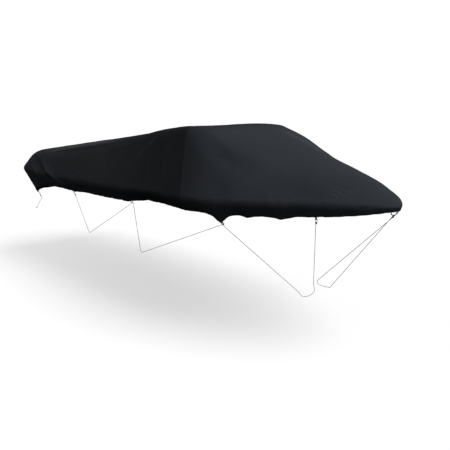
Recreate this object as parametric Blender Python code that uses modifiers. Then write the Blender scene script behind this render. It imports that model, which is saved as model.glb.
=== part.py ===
"""Fitted cloth cover for an open runabout on its trailer.

Metres, +Z up. +X points to the bow and -Y to the starboard side, which is
called near here; port is far. The origin lies on the centreline, against the
inner face of the cloth, where the cover is highest: over the windscreen's top
rail. The seam between the two panels lies along that rail and down the
screen's side posts.
"""
from math import cos, pi, radians, sin

import bmesh
import bpy
import numpy as np
from mathutils import Matrix, Vector

# ------------------------------------------------------------ driving sizes
CLOTH = 0.0025              # cloth with its coating and seam allowance
PIECE_GAP = 0.00033         # between pieces that are sewn together

SCREEN_HALF = 0.70          # half the length of the windscreen's top rail
POST_RAKE = 0.32            # foot of the screen's side post, ahead of its head
HALF_BEAM = 1.03            # at the rub rail, beside the screen
HEM_TUCK = 0.06             # how far the hem is drawn in under the rub rail

BOW_CROWN = 1.77            # where the crown line ends, over the foredeck
BOW_EDGE = 2.00
BOW_RAIL = 2.225
BOW_HEM = 2.20
BOW_EDGE_FULLNESS = 1.8     # exponents of the plan curves; 2 is an ellipse
BOW_RAIL_FULLNESS = 1.43

STERN_CROWN = -3.12
STERN_EDGE = -3.55
STERN_RAIL = -3.70
STERN_HEM = -3.47
STERN_EDGE_HALF = 0.88
STERN_RAIL_HALF = 0.99
STERN_HEM_HALF = 0.90
EDGE_CORNER = 0.24
RAIL_CORNER = 0.17
CORNER_FULLNESS = 2.2

# Heights of the cover's lines along the boat. "lean" lifts the near edge and
# lowers the far one, because the cloth is pulled harder on the far side.
HEIGHTS = (
    # x,    crown,   edge,    rail,    hem,    lean
    (-3.70, -0.535, -0.578, -0.780, -0.985, 0.000),
    (-2.80, -0.415, -0.448, -0.790, -0.950, 0.010),
    (-1.85, -0.262, -0.304, -0.768, -0.908, 0.016),
    (-0.90, -0.122, -0.156, -0.728, -0.862, 0.024),
    (-0.35, -0.034, -0.052, -0.694, -0.788, 0.032),
    (0.00, 0.000, -0.022, -0.680, -0.780, 0.038),
    (0.35, -0.042, -0.108, -0.664, -0.780, 0.034),
    (0.75, -0.146, -0.260, -0.642, -0.760, 0.032),
    (1.05, -0.234, -0.360, -0.620, -0.744, 0.022),
    (1.40, -0.312, -0.412, -0.596, -0.716, 0.012),
    (1.70, -0.366, -0.438, -0.578, -0.694, 0.006),
    (2.00, -0.414, -0.462, -0.572, -0.658, 0.000),
    (2.30, -0.450, -0.495, -0.570, -0.606, 0.000),
)
X, CROWN, EDGE, RAIL, HEM, LEAN = range(6)

# Points of a cross-section: along the top, round its edge, down the side,
# round the rub rail and along the tucked-in hem.
TOP_STEPS = 5
EDGE_STEPS = 4
SIDE_STEPS = 7
RAIL_STEPS = 3
TUCK_STEPS = 3
EDGE_ROUND = 0.12           # length that the rounding takes on each side
BOW_EDGE_ROUND = 0.62
SHOULDER = 0.5              # how far out the top stays as high as the crown line
RAIL_ROUND = 0.05

FRONT_COLUMNS = 21          # fan lines from the seam to the bow, each side
SIDE_COLUMNS = 16           # cross-sections along the side of the rear panel
CORNER_COLUMNS = 6
STERN_COLUMNS = 5

# Where a tie or the elastic pulls the hem down.
# side, x of the pull, depth, reach along the hem
HEM_PULLS = (
    (-1, -3.42, 0.145, 0.13),
    (-1, -2.18, 0.016, 0.12),
    (-1, -0.85, 0.012, 0.10),
    (-1, 0.7795, 0.088, 0.065),
    (-1, 1.06, 0.022, 0.06),
    (-1, 1.38, 0.032, 0.09),
    (1, -3.42, 0.100, 0.15),
    (1, -0.85, 0.014, 0.10),
    (1, 0.77, 0.045, 0.08),
    (1, 1.65, 0.016, 0.10),
)

# Main folds of the drawn cloth, each a soft line between two points on it.
# from x, y, z, to x, y, z, half width, height (a trough is negative)
FOLDS = (
    (-3.14, -0.93, -0.58, -2.80, -0.97, -0.74, 0.050, 0.016),
    (-2.80, -0.97, -0.74, -2.38, -0.94, -0.88, 0.050, 0.018),
    (-3.24, -0.95, -0.66, -2.66, -0.98, -0.86, 0.055, -0.014),
    (-3.36, -0.95, -0.68, -2.98, -0.95, -0.92, 0.050, 0.012),
    (-2.95, -0.89, -0.50, -2.20, -0.90, -0.42, 0.050, -0.014),
    (-2.20, -0.90, -0.42, -1.50, -0.86, -0.32, 0.045, -0.010),
    (-0.62, -0.79, -0.16, -0.44, -0.97, -0.58, 0.060, -0.008),
    (-0.40, -0.75, -0.09, 0.02, -1.00, -0.62, 0.060, -0.010),
    (0.10, -0.69, -0.06, 0.67, -0.70, -0.27, 0.110, -0.012),
    (0.67, -0.70, -0.27, 1.42, -0.55, -0.46, 0.130, -0.014),
    (-3.10, 0.93, -0.60, -2.50, 0.97, -0.86, 0.060, -0.016),
    (-0.50, 0.76, -0.12, -0.20, 0.98, -0.62, 0.070, -0.010),
    (-2.60, 0.10, -0.33, -1.10, 0.45, -0.14, 0.180, -0.014),
    (-2.40, -0.42, -0.33, -1.30, -0.30, -0.17, 0.160, -0.012),
)

# Loops of folded tape sewn inside the hem. Sizes along the tape's own profile.
TAPE_WIDTH = 0.012
TAPE = 0.0016
TAPE_TAIL = 0.026           # sewn length above the edge of the hem
EYE_RADIUS = 0.010
EYE_DROP = 0.006            # the eye's centre line starts this far below the hem
EYE_RUN = 0.007             # straight part of the eye between its two round ends
ARC_STEPS = 6
# name, panel, column of the panel (a part column lies between two), side,
# gap to the cloth behind the flat tape
HEM_LOOPS = (
    ("stern_near", "rear", 18.8, -1, 0.0014),
    ("aft_near", "rear", 11.46, -1, 0.0028),
    ("mid_near", "rear", 4.95, -1, 0.0007),
    ("fore_near", "front", 5, -1, 0.0016),
    ("quarter_near", "front", 12.16, -1, 0.0007),
    ("bow", "front", 19.3, 1, 0.0007),
    ("quarter_far", "front", 12.16, 1, 0.0007),
    ("fore_far", "front", 5, 1, 0.0012),
    ("mid_far", "rear", 4.95, 1, 0.0009),
    ("aft_far", "rear", 11.46, 1, 0.0016),
    ("stern_far", "rear", 18.8, 1, 0.0009),
)

MIDSHIP = Vector((-0.6, 0.0, -0.8))      # a point inside the cover
UNDER_COVER = (0.0, 0.0, -1.0)           # a point below the screen and the hem

TIE = 0.005                 # cord diameter
LONG_LEG = 0.25             # a taut stretch this long is straight
BEND_STEP = 0.015           # no step round a bend is longer

# Routes of the ties: points of their centre lines, from the first knot on.
# Laces the starboard side: knotted to the aft loop, round the trailer frame,
# through the middle and fore loops and knotted to the quarter loop.
TIE_SIDE_ROUTE = (
    (-2.268, -0.862, -1.011), (-2.2705, -0.8665, -0.995), (-2.2755, -0.871, -0.980),
    (-2.284, -0.8745, -0.9655), (-2.284, -0.8775, -0.957), (-2.2795, -0.880, -0.9525),
    (-2.273, -0.881, -0.9515), (-2.266, -0.880, -0.9525), (-2.262, -0.8775, -0.957),
    (-2.2605, -0.8745, -0.9655), (-2.264, -0.871, -0.980), (-2.2645, -0.8665, -0.995),
    (-2.262, -0.8615, -1.013), (-2.2035, -0.7295, -1.4785), (-2.200, -0.727, -1.487),
    (-2.193, -0.7255, -1.493), (-2.184, -0.725, -1.4955), (-2.175, -0.7255, -1.494),
    (-0.8515, -0.9065, -0.9035), (-0.819, -0.911, -0.8865), (-0.806, -0.9125, -0.880),
    (-0.8005, -0.9135, -0.8765), (-0.795, -0.9135, -0.875), (-0.789, -0.913, -0.8755),
    (-0.7835, -0.9115, -0.879), (-0.7815, -0.909, -0.886), (-0.7835, -0.905, -0.898),
    (-0.987, -0.703, -1.497), (-0.9875, -0.699, -1.5075), (-0.982, -0.696, -1.5165),
    (-0.972, -0.694, -1.5215), (-0.961, -0.6935, -1.5205), (0.7125, -0.8545, -0.892),
    (0.749, -0.8565, -0.879), (0.764, -0.858, -0.8735), (0.7705, -0.8585, -0.8705),
    (0.7765, -0.858, -0.8692), (0.7815, -0.8555, -0.8701), (0.785, -0.8515, -0.8746),
    (0.787, -0.846, -0.882), (0.792, -0.8325, -0.8975), (1.130, -0.152, -1.605),
    (1.140, -0.130, -1.640), (1.165, -0.080, -1.652), (1.185, -0.030, -1.634),
    (1.197, 0.002, -1.590), (1.185, -0.005, -1.540), (1.6325, -0.447, -0.7755),
    (1.641, -0.455, -0.760), (1.6455, -0.463, -0.747), (1.648, -0.4725, -0.735),
    (1.651, -0.476, -0.7275), (1.6555, -0.476, -0.7225), (1.661, -0.4725, -0.7205),
    (1.6665, -0.469, -0.721), (1.6695, -0.4645, -0.7255), (1.6675, -0.4605, -0.733),
    (1.655, -0.4575, -0.746), (1.646, -0.452, -0.759), (1.6385, -0.445, -0.7735),
)
# Knotted to the bow loop, round the trailer tongue and back to its own knot.
TIE_BOW_ROUTE = (
    (2.112, 0.0395, -0.6975), (2.1255, 0.0395, -0.6845), (2.140, 0.0365, -0.672),
    (2.156, 0.030, -0.6605), (2.1615, 0.032, -0.6535), (2.1615, 0.0375, -0.649),
    (2.159, 0.0435, -0.6485), (2.1555, 0.049, -0.6505), (2.1515, 0.0515, -0.655),
    (2.1455, 0.0505, -0.6625), (2.1345, 0.0465, -0.673), (2.123, 0.0445, -0.685),
    (2.1075, 0.045, -0.6995), (1.194, 0.045, -1.4965), (1.1875, 0.045, -1.5075),
    (1.188, 0.0455, -1.5205), (1.196, 0.0455, -1.531), (1.2085, 0.0455, -1.535),
    (1.352, 0.0475, -1.535), (1.3565, 0.0475, -1.5345), (1.361, 0.0475, -1.533),
    (1.365, 0.0475, -1.5305), (1.3685, 0.0475, -1.5275), (2.092, 0.0405, -0.7085),
    (2.106, 0.040, -0.6955), (2.118, 0.040, -0.684), (2.1275, 0.0395, -0.675),
)
# Knotted to the stern loop, over the transom and down to the frame behind it.
TIE_STERN_ROUTE = (
    (-3.358, -0.8395, -1.171), (-3.367, -0.841, -1.158), (-3.374, -0.844, -1.144),
    (-3.3775, -0.8485, -1.129), (-3.3835, -0.849, -1.1225), (-3.390, -0.8475, -1.1215),
    (-3.395, -0.844, -1.124), (-3.3985, -0.8405, -1.1285), (-3.3985, -0.838, -1.1345),
    (-3.3935, -0.8365, -1.1415), (-3.3815, -0.838, -1.150), (-3.371, -0.838, -1.161),
    (-3.361, -0.836, -1.176), (-3.398, -0.820, -1.212), (-3.430, -0.822, -1.243),
    (-3.500, -0.815, -1.296), (-3.560, -0.808, -1.338), (-3.620, -0.800, -1.380),
)

# A slack loop of rolled cloth under the stem, its ends sewn inside the hem.
SLACK_LOOP = 0.009
SLACK_LOOP_ROUTE = (
    (2.1815, -0.058, -0.601), (2.176, -0.0535, -0.6175), (2.169, -0.051, -0.634),
    (2.166, -0.043, -0.648), (2.168, -0.029, -0.656), (2.173, -0.015, -0.659),
    (2.179, -0.001, -0.655), (2.1815, 0.011, -0.645), (2.186, 0.0165, -0.632),
    (2.1928, 0.0165, -0.617), (2.201, 0.018, -0.600),
)


# ------------------------------------------------------------------ curves
def height(x, column):
    """Height of a line of the cover at x: cubic pieces through the table."""
    rows = np.array(HEIGHTS)
    xs, values = rows[:, X], rows[:, column]
    slopes = np.gradient(values, xs)
    x = min(max(x, xs[0]), xs[-1])
    i = int(np.clip(np.searchsorted(xs, x, side="right") - 1, 0, len(xs) - 2))
    span = xs[i + 1] - xs[i]
    t = (x - xs[i]) / span
    start = (2 * t ** 3 - 3 * t ** 2 + 1) * values[i]
    start += (t ** 3 - 2 * t ** 2 + t) * span * slopes[i]
    end = (3 * t ** 2 - 2 * t ** 3) * values[i + 1]
    end += (t ** 3 - t ** 2) * span * slopes[i + 1]
    return start + end


def bow_plan(turn, x0, x1, half, fullness):
    """Plan curve from the side (turn 0) round to the stem (turn 1)."""
    angle = turn * pi / 2
    power = 2 / fullness
    return x0 + (x1 - x0) * sin(angle) ** power, half * cos(angle) ** power


def stern_plan(column, x0, x1, half0, half1, corner):
    """Plan curve from the seam along the side, round the corner, to the centre."""
    if column <= SIDE_COLUMNS:
        t = column / SIDE_COLUMNS
        return x0 + (x1 + corner - x0) * t, half0 + (half1 - half0) * sin(pi / 2 * t)
    column -= SIDE_COLUMNS
    if column <= CORNER_COLUMNS:
        angle = column / CORNER_COLUMNS * pi / 2
        power = 2 / CORNER_FULLNESS
        x = x1 + corner - corner * sin(angle) ** power
        return x, half1 - corner + corner * cos(angle) ** power
    t = (column - CORNER_COLUMNS) / STERN_COLUMNS
    return x1, (half1 - corner) * (1 - t)


def hem_pull(x, side):
    """How far the ties pull the hem down at x on one side."""
    drop = 0.0
    for pull_side, centre, depth, reach in HEM_PULLS:
        if pull_side == side:
            drop += depth * np.exp(-abs(x - centre) / reach)
    return drop


def key_points(side, crown_x, edge, rail, hem):
    """The four points that a cross-section runs through."""
    edge_z = height(edge[0], EDGE) - side * height(edge[0], LEAN)
    hem_z = height(hem[0], HEM) - hem_pull(hem[0], side)
    return (np.array((crown_x, 0.0, height(crown_x, CROWN))),
            np.array((edge[0], side * edge[1], edge_z)),
            np.array((rail[0], side * rail[1], height(rail[0], RAIL))),
            np.array((hem[0], side * hem[1], hem_z)))


def towards(start, end, distance):
    """A point on the way from start to end, at most 45% of the way."""
    run = end - start
    length = np.linalg.norm(run)
    return start + run / length * min(distance, 0.45 * length)


def straight(a, b, steps):
    return [a + (b - a) * i / steps for i in range(steps)]


def rounded(a, corner, b, steps):
    """A parabola that leaves a and reaches b along the lines to the corner."""
    points = []
    for i in range(steps):
        t = i / steps
        points.append((1 - t) ** 2 * a + 2 * t * (1 - t) * corner + t * t * b)
    return points


def cross_section(side, keys, edge_round):
    """Points from the crown line to the hem, on one side of the boat."""
    crown, edge, rail, hem = keys
    shoulder = crown + (edge - crown) * SHOULDER
    shoulder[2] = height(shoulder[0], CROWN)
    edge_in = towards(edge, shoulder, edge_round)
    edge_out = towards(edge, rail, edge_round)
    rail_in = towards(rail, edge, RAIL_ROUND)
    rail_out = towards(rail, hem, RAIL_ROUND)
    points = rounded(crown, shoulder, edge_in, TOP_STEPS)
    points += rounded(edge_in, edge, edge_out, EDGE_STEPS)
    points += straight(edge_out, rail_in, SIDE_STEPS)
    points += rounded(rail_in, rail, rail_out, RAIL_STEPS)
    points += straight(rail_out, hem, TUCK_STEPS)
    points.append(hem)
    return points


def front_section(side, column):
    turn = column / FRONT_COLUMNS
    crown_x = BOW_CROWN * sin(turn * pi / 2)
    edge = bow_plan(turn, 0.0, BOW_EDGE, SCREEN_HALF, BOW_EDGE_FULLNESS)
    rail = bow_plan(turn, POST_RAKE, BOW_RAIL, HALF_BEAM, BOW_RAIL_FULLNESS)
    hem = bow_plan(turn, POST_RAKE, BOW_HEM, HALF_BEAM - HEM_TUCK, BOW_RAIL_FULLNESS)
    edge_round = EDGE_ROUND + (BOW_EDGE_ROUND - EDGE_ROUND) * turn
    return cross_section(side, key_points(side, crown_x, edge, rail, hem), edge_round)


def rear_section(side, column):
    t = min(column / SIDE_COLUMNS, 1.0)
    crown_x = STERN_CROWN * t
    edge = stern_plan(column, 0.0, STERN_EDGE, SCREEN_HALF, STERN_EDGE_HALF, EDGE_CORNER)
    rail = stern_plan(column, POST_RAKE, STERN_RAIL, HALF_BEAM, STERN_RAIL_HALF, RAIL_CORNER)
    hem = stern_plan(column, POST_RAKE, STERN_HEM, HALF_BEAM - HEM_TUCK, STERN_HEM_HALF,
                     RAIL_CORNER)
    return cross_section(side, key_points(side, crown_x, edge, rail, hem), EDGE_ROUND)


def panel_grid(section, columns):
    """Cross-sections from the near seam round the boat's end to the far seam."""
    near = [section(-1, c) for c in range(columns + 1)]
    far = [section(1, c) for c in range(columns)]
    return np.array(near + far[::-1])


def outward(grid):
    """Unit normals of a panel's grid of points, away from the boat."""
    along = np.gradient(grid, axis=0)
    down = np.gradient(grid, axis=1)
    normal = np.cross(down, along)
    length = np.linalg.norm(normal, axis=2, keepdims=True)
    normal = normal / np.maximum(length, 1e-9)
    away = grid - np.array(UNDER_COVER)
    flip = np.sign((normal * away).sum(axis=2, keepdims=True))
    return normal * flip


def smooth_route(points):
    """Points of a smooth curve through a route, straight along its long legs."""
    points = np.array(points)
    runs = np.diff(points, axis=0)
    lengths = np.linalg.norm(runs, axis=1)
    ways = runs / lengths[:, None]
    tangents = [ways[0]]
    for i in range(1, len(runs)):
        if lengths[i - 1] > LONG_LEG:
            tangents.append(ways[i - 1])
        elif lengths[i] > LONG_LEG:
            tangents.append(ways[i])
        else:
            mean = ways[i - 1] * lengths[i] + ways[i] * lengths[i - 1]
            tangents.append(mean / np.linalg.norm(mean))
    tangents.append(ways[-1])
    curve = []
    for i, length in enumerate(lengths):
        steps = 2 if BEND_STEP < length < LONG_LEG else 1
        for t in np.arange(steps) / steps:
            near_end = (2 * t ** 3 - 3 * t ** 2 + 1) * points[i]
            near_end += (t ** 3 - 2 * t ** 2 + t) * length * tangents[i]
            far_end = (3 * t ** 2 - 2 * t ** 3) * points[i + 1]
            far_end += (t ** 3 - t ** 2) * length * tangents[i + 1]
            curve.append(near_end + far_end)
    curve.append(points[-1])
    return curve


def folded(grid):
    """The panel with its main folds raised or pressed in."""
    normal = outward(grid)
    lift = np.zeros(grid.shape[:2])
    for fold in FOLDS:
        start, end = np.array(fold[0:3]), np.array(fold[3:6])
        width, rise = fold[6:8]
        run = end - start
        t = np.clip(((grid - start) @ run) / (run @ run), 0, 1)
        away = np.linalg.norm(grid - (start + t[..., None] * run), axis=2)
        lift += rise * np.exp(-(away / width) ** 2)
    lift[0] = 0.0
    lift[-1] = 0.0
    lift[:, 0] = 0.0
    return grid + normal * lift[..., None]


# ----------------------------------------------------------------- objects
def clear_scene():
    for old in list(bpy.data.objects):
        bpy.data.objects.remove(old, do_unlink=True)


def material(name, colour, roughness):
    """A plain cloth or cord finish."""
    finish = bpy.data.materials.new(name)
    finish.use_nodes = True
    shader = finish.node_tree.nodes["Principled BSDF"]
    shader.inputs["Base Color"].default_value = (*colour, 1.0)
    shader.inputs["Roughness"].default_value = roughness
    shader.inputs["Metallic"].default_value = 0.0
    return finish


def add_object(name, data, finish, collection):
    data.materials.clear()
    data.materials.append(finish)
    piece = bpy.data.objects.new(name, data)
    collection.objects.link(piece)
    return piece


def cloth_panel(name, grid, finish, collection):
    """A loft through the grid's sections, thickened outwards from its inner face."""
    sections, points = grid.shape[:2]
    shell = bmesh.new()
    rows = [[shell.verts.new(p) for p in section] for section in grid]
    for i in range(sections - 1):
        for j in range(points - 1):
            shell.faces.new((rows[i][j], rows[i + 1][j], rows[i + 1][j + 1], rows[i][j + 1]))
    bmesh.ops.remove_doubles(shell, verts=shell.verts, dist=1e-6)
    bmesh.ops.dissolve_degenerate(shell, edges=shell.edges, dist=1e-6)
    bmesh.ops.recalc_face_normals(shell, faces=shell.faces)
    highest = max(shell.faces, key=lambda face: face.calc_center_median().z)
    if highest.normal.z < 0:
        bmesh.ops.reverse_faces(shell, faces=shell.faces)
    mesh = bpy.data.meshes.new(name)
    shell.to_mesh(mesh)
    shell.free()
    mesh.shade_smooth()
    panel = add_object(name, mesh, finish, collection)
    wall = panel.modifiers.new("cloth", "SOLIDIFY")
    wall.thickness = CLOTH
    wall.offset = 1.0
    wall.use_even_offset = True
    wall.use_rim = True
    return panel


def arc(centre_a, centre_b, radius, start, stop):
    """Points of a round end of the tape's profile, angles in degrees."""
    points = []
    for i in range(ARC_STEPS + 1):
        angle = radians(start + (stop - start) * i / ARC_STEPS)
        points.append((centre_a + radius * cos(angle), centre_b + radius * sin(angle)))
    return points


def tape_profile():
    """Outline and eye of a hem loop: a runs down past the hem, b into the boat."""
    top = EYE_DROP + EYE_RADIUS
    low = top + EYE_RUN
    middle = TAPE + EYE_RADIUS
    outer = [(-TAPE_TAIL, 0.0)]
    outer += arc(low, middle, EYE_RADIUS + TAPE, -90, 90)
    outer += arc(top, middle, EYE_RADIUS + TAPE, 90, 240)[:-1]
    outer += [(EYE_DROP - TAPE, TAPE), (-TAPE_TAIL, TAPE)]
    eye = arc(low, middle, EYE_RADIUS, -90, 90) + arc(top, middle, EYE_RADIUS, 90, 270)
    return outer, eye


def hem_loop(name, frame, finish, collection):
    """Folded tape: its flat tail is sewn inside the hem, its eye hangs below."""
    flat = bpy.data.curves.new(name, "CURVE")
    flat.dimensions = "2D"
    flat.fill_mode = "BOTH"
    flat.extrude = TAPE_WIDTH / 2
    for outline in tape_profile():
        spline = flat.splines.new("POLY")
        spline.points.add(len(outline) - 1)
        for point, (a, b) in zip(spline.points, outline):
            point.co = (a, b, 0.0, 1.0)
        spline.use_cyclic_u = True
    loop = add_object(name, flat, finish, collection)
    loop.matrix_world = frame
    return loop


def hem_frame(grid, place, gap):
    """Place inside the hem: X down the tuck, Y into the boat and Z along the hem."""
    section = int(place)
    share = place - section
    hem = Vector(grid[section][-1]).lerp(Vector(grid[section + 1][-1]), share)
    above = Vector(grid[section][-2]).lerp(Vector(grid[section + 1][-2]), share)
    before = Vector(grid[section - 1 if share == 0 else section][-1])
    along = (Vector(grid[section + 1][-1]) - before).normalized()
    inward = (hem - above).cross(along).normalized()
    if inward.dot(MIDSHIP - hem) < 0:
        inward.negate()
        along.negate()
    down = along.cross(inward)
    axes = Matrix((down, inward, -along)).transposed().to_4x4()
    return Matrix.Translation(hem + inward * gap) @ axes


def tube(name, route, thickness, finish, collection):
    """A round cord along the smooth curve through its route."""
    line = bpy.data.curves.new(name, "CURVE")
    line.dimensions = "3D"
    line.bevel_depth = thickness / 2
    line.bevel_resolution = 2
    line.use_fill_caps = True
    points = smooth_route(route)
    spline = line.splines.new("POLY")
    spline.points.add(len(points) - 1)
    for point, place in zip(spline.points, points):
        point.co = (*place, 1.0)
    return add_object(name, line, finish, collection)


# ------------------------------------------------------------------- build
clear_scene()
cover = bpy.data.collections.new("boat_cover")
bpy.context.scene.collection.children.link(cover)

cloth = material("cover_cloth", (0.016, 0.017, 0.020), 0.78)
tape = material("black_tape", (0.012, 0.012, 0.013), 0.85)
cord = material("tie_cord", (0.48, 0.48, 0.46), 0.80)

grids = {
    "front": folded(panel_grid(front_section, FRONT_COLUMNS)),
    "rear": folded(panel_grid(rear_section, SIDE_COLUMNS + CORNER_COLUMNS + STERN_COLUMNS)),
}
grids["front"] += np.array((PIECE_GAP, 0.0, 0.0))
cloth_panel("front_panel", grids["front"], cloth, cover)
cloth_panel("rear_panel", grids["rear"], cloth, cover)

for name, panel, column, side, gap in HEM_LOOPS:
    place = column if side < 0 else len(grids[panel]) - 1 - column
    hem_loop("hem_loop_" + name, hem_frame(grids[panel], place, gap), tape, cover)
tube("slack_loop", SLACK_LOOP_ROUTE, SLACK_LOOP, tape, cover)

tube("tie_side", TIE_SIDE_ROUTE, TIE, cord, cover)
tube("tie_bow", TIE_BOW_ROUTE, TIE, cord, cover)
tube("tie_stern", TIE_STERN_ROUTE, TIE, cord, cover)
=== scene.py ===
"""Fitted cloth cover for an open runabout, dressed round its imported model.

Metres, +Z up. +X points to the bow and -Y to the starboard side, which is
called near here; port is far. The origin lies under the cloth where the cover
is highest, over the windscreen's top rail.
"""

from math import ceil, cos, pi, radians, sin

import bmesh
import bpy
import numpy as np
from mathutils import Matrix, Vector, noise


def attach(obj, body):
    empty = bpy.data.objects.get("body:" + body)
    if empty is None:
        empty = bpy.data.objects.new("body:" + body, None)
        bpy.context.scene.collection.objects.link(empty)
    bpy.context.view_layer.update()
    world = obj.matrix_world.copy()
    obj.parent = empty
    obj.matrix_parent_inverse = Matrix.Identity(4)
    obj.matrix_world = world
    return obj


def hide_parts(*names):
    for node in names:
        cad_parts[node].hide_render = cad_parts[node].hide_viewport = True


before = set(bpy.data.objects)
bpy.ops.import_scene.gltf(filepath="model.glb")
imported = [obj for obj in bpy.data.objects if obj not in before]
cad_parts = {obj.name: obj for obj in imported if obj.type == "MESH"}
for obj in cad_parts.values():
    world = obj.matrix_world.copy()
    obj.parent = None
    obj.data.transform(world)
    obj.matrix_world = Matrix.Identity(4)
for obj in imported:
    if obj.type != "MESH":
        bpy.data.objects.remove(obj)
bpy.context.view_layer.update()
scene = bpy.context.scene


# ------------------------------------------------------------------ camera
# Stands off the starboard bow, a little above the windscreen.
CAMERA_PLACE = (6.403, -5.270, 0.687)
CAMERA_TILT = 77.7          # degrees up from looking straight down
CAMERA_TURN = 51.7          # degrees round from facing port
SENSOR = 36.0               # millimetres, as is the lens
LENS = 60.4


def put_in_scene(name, data):
    """A new object in the scene for a camera, a mesh or a light."""
    made = bpy.data.objects.new(name, data)
    scene.collection.objects.link(made)
    return made


camera = put_in_scene("camera", bpy.data.cameras.new("camera"))
camera.location = CAMERA_PLACE
camera.rotation_euler = (radians(CAMERA_TILT), 0.0, radians(CAMERA_TURN))
camera.data.sensor_width = SENSOR
camera.data.lens = LENS
scene.camera = camera


# ------------------------------------------------------------- tie cords
# Thin light grey braided cord, laced by hand through the loops under the hem
# and drawn tight to the trailer. Turns round its own legs knot it to a loop.
TIE = 0.005                 # cord diameter
TIE_SIDES = 12              # flats round a cord
LONG_LEG = 0.25             # a taut stretch this long is straight
BEND_STEP = 0.004           # spacing of points round a bend
NEARLY_UPRIGHT = 0.1        # sine of a small angle from the vertical

KNOT_TURNS = 3
KNOT_SIDES = 10             # flats round the cord of a knot's turns
KNOT_STEPS = 24             # points of one turn
KNOT_REACH = 0.014          # a leg this close to a knot's middle is bound by it
KNOT_GRIP = 0.96            # how far the turns lie off the legs, in cords
KNOT_PITCH = 0.98           # how far apart the turns lie, in cords
KNOT_START = (0.3, 0.2, 0.9)             # a turn starts square to this way

STRANDS = 6                 # strands of each set, round the cord
BRAID_PITCH = 0.0026        # from strand to strand along the cord
BRAID_DEPTH = 0.0004
BRAID_RELIEF = 0.7          # strength of the bump that shows it
TIE_SOIL = 0.55             # how much the soiling changes the colour
TIE_COLOUR = (0.50, 0.50, 0.475, 1.0)
TIE_SHADE = (0.27, 0.27, 0.25, 1.0)

# Laces the starboard side: knotted to the aft loop, round the trailer frame,
# through the middle and fore loops and knotted to the quarter loop.
TIE_SIDE_ROUTE = (
    (-2.268, -0.862, -1.011), (-2.2705, -0.8665, -0.995), (-2.2755, -0.871, -0.980),
    (-2.284, -0.8745, -0.9655), (-2.284, -0.8775, -0.957), (-2.2795, -0.880, -0.9525),
    (-2.273, -0.881, -0.9515), (-2.266, -0.880, -0.9525), (-2.262, -0.8775, -0.957),
    (-2.2605, -0.8745, -0.9655), (-2.264, -0.871, -0.980), (-2.2645, -0.8665, -0.995),
    (-2.262, -0.8615, -1.013), (-2.2035, -0.7295, -1.4785), (-2.200, -0.727, -1.487),
    (-2.193, -0.7255, -1.493), (-2.184, -0.725, -1.4955), (-2.175, -0.7255, -1.494),
    (-0.8515, -0.9065, -0.9035), (-0.819, -0.911, -0.8865), (-0.806, -0.9125, -0.880),
    (-0.8005, -0.9135, -0.8765), (-0.795, -0.9135, -0.875), (-0.789, -0.913, -0.8755),
    (-0.7835, -0.9115, -0.879), (-0.7815, -0.909, -0.886), (-0.7835, -0.905, -0.898),
    (-0.987, -0.703, -1.497), (-0.9875, -0.699, -1.5075), (-0.982, -0.696, -1.5165),
    (-0.972, -0.694, -1.5215), (-0.961, -0.6935, -1.5205), (0.7125, -0.8545, -0.892),
    (0.749, -0.8565, -0.879), (0.764, -0.858, -0.8735), (0.7705, -0.8585, -0.8705),
    (0.7765, -0.858, -0.8692), (0.7815, -0.8555, -0.8701), (0.785, -0.8515, -0.8746),
    (0.787, -0.846, -0.882), (0.792, -0.8325, -0.8975), (1.130, -0.152, -1.605),
    (1.140, -0.130, -1.640), (1.165, -0.080, -1.652), (1.185, -0.030, -1.634),
    (1.197, 0.002, -1.590), (1.185, -0.005, -1.540), (1.6325, -0.447, -0.7755),
    (1.641, -0.455, -0.760), (1.6455, -0.463, -0.747), (1.648, -0.4725, -0.735),
    (1.651, -0.476, -0.7275), (1.6555, -0.476, -0.7225), (1.661, -0.4725, -0.7205),
    (1.6665, -0.469, -0.721), (1.6695, -0.4645, -0.7255), (1.6675, -0.4605, -0.733),
    (1.655, -0.4575, -0.746), (1.646, -0.452, -0.759), (1.6385, -0.445, -0.7735),
)
# Knotted to the bow loop, round the trailer tongue and back to its own knot.
TIE_BOW_ROUTE = (
    (2.112, 0.0395, -0.6975), (2.1255, 0.0395, -0.6845), (2.140, 0.0365, -0.672),
    (2.156, 0.030, -0.6605), (2.1615, 0.032, -0.6535), (2.1615, 0.0375, -0.649),
    (2.159, 0.0435, -0.6485), (2.1555, 0.049, -0.6505), (2.1515, 0.0515, -0.655),
    (2.1455, 0.0505, -0.6625), (2.1345, 0.0465, -0.673), (2.123, 0.0445, -0.685),
    (2.1075, 0.045, -0.6995), (1.194, 0.045, -1.4965), (1.1875, 0.045, -1.5075),
    (1.188, 0.0455, -1.5205), (1.196, 0.0455, -1.531), (1.2085, 0.0455, -1.535),
    (1.352, 0.0475, -1.535), (1.3565, 0.0475, -1.5345), (1.361, 0.0475, -1.533),
    (1.365, 0.0475, -1.5305), (1.3685, 0.0475, -1.5275), (2.092, 0.0405, -0.7085),
    (2.106, 0.040, -0.6955), (2.118, 0.040, -0.684), (2.1275, 0.0395, -0.675),
)
# Knotted to the stern loop, over the transom and down to the frame behind it.
TIE_STERN_ROUTE = (
    (-3.358, -0.8395, -1.171), (-3.367, -0.841, -1.158), (-3.374, -0.844, -1.144),
    (-3.3775, -0.8485, -1.129), (-3.3835, -0.849, -1.1225), (-3.390, -0.8475, -1.1215),
    (-3.395, -0.844, -1.124), (-3.3985, -0.8405, -1.1285), (-3.3985, -0.838, -1.1345),
    (-3.3935, -0.8365, -1.1415), (-3.3815, -0.838, -1.150), (-3.371, -0.838, -1.161),
    (-3.361, -0.836, -1.176), (-3.398, -0.820, -1.212), (-3.430, -0.822, -1.243),
    (-3.500, -0.815, -1.296), (-3.560, -0.808, -1.338), (-3.620, -0.800, -1.380),
)


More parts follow.
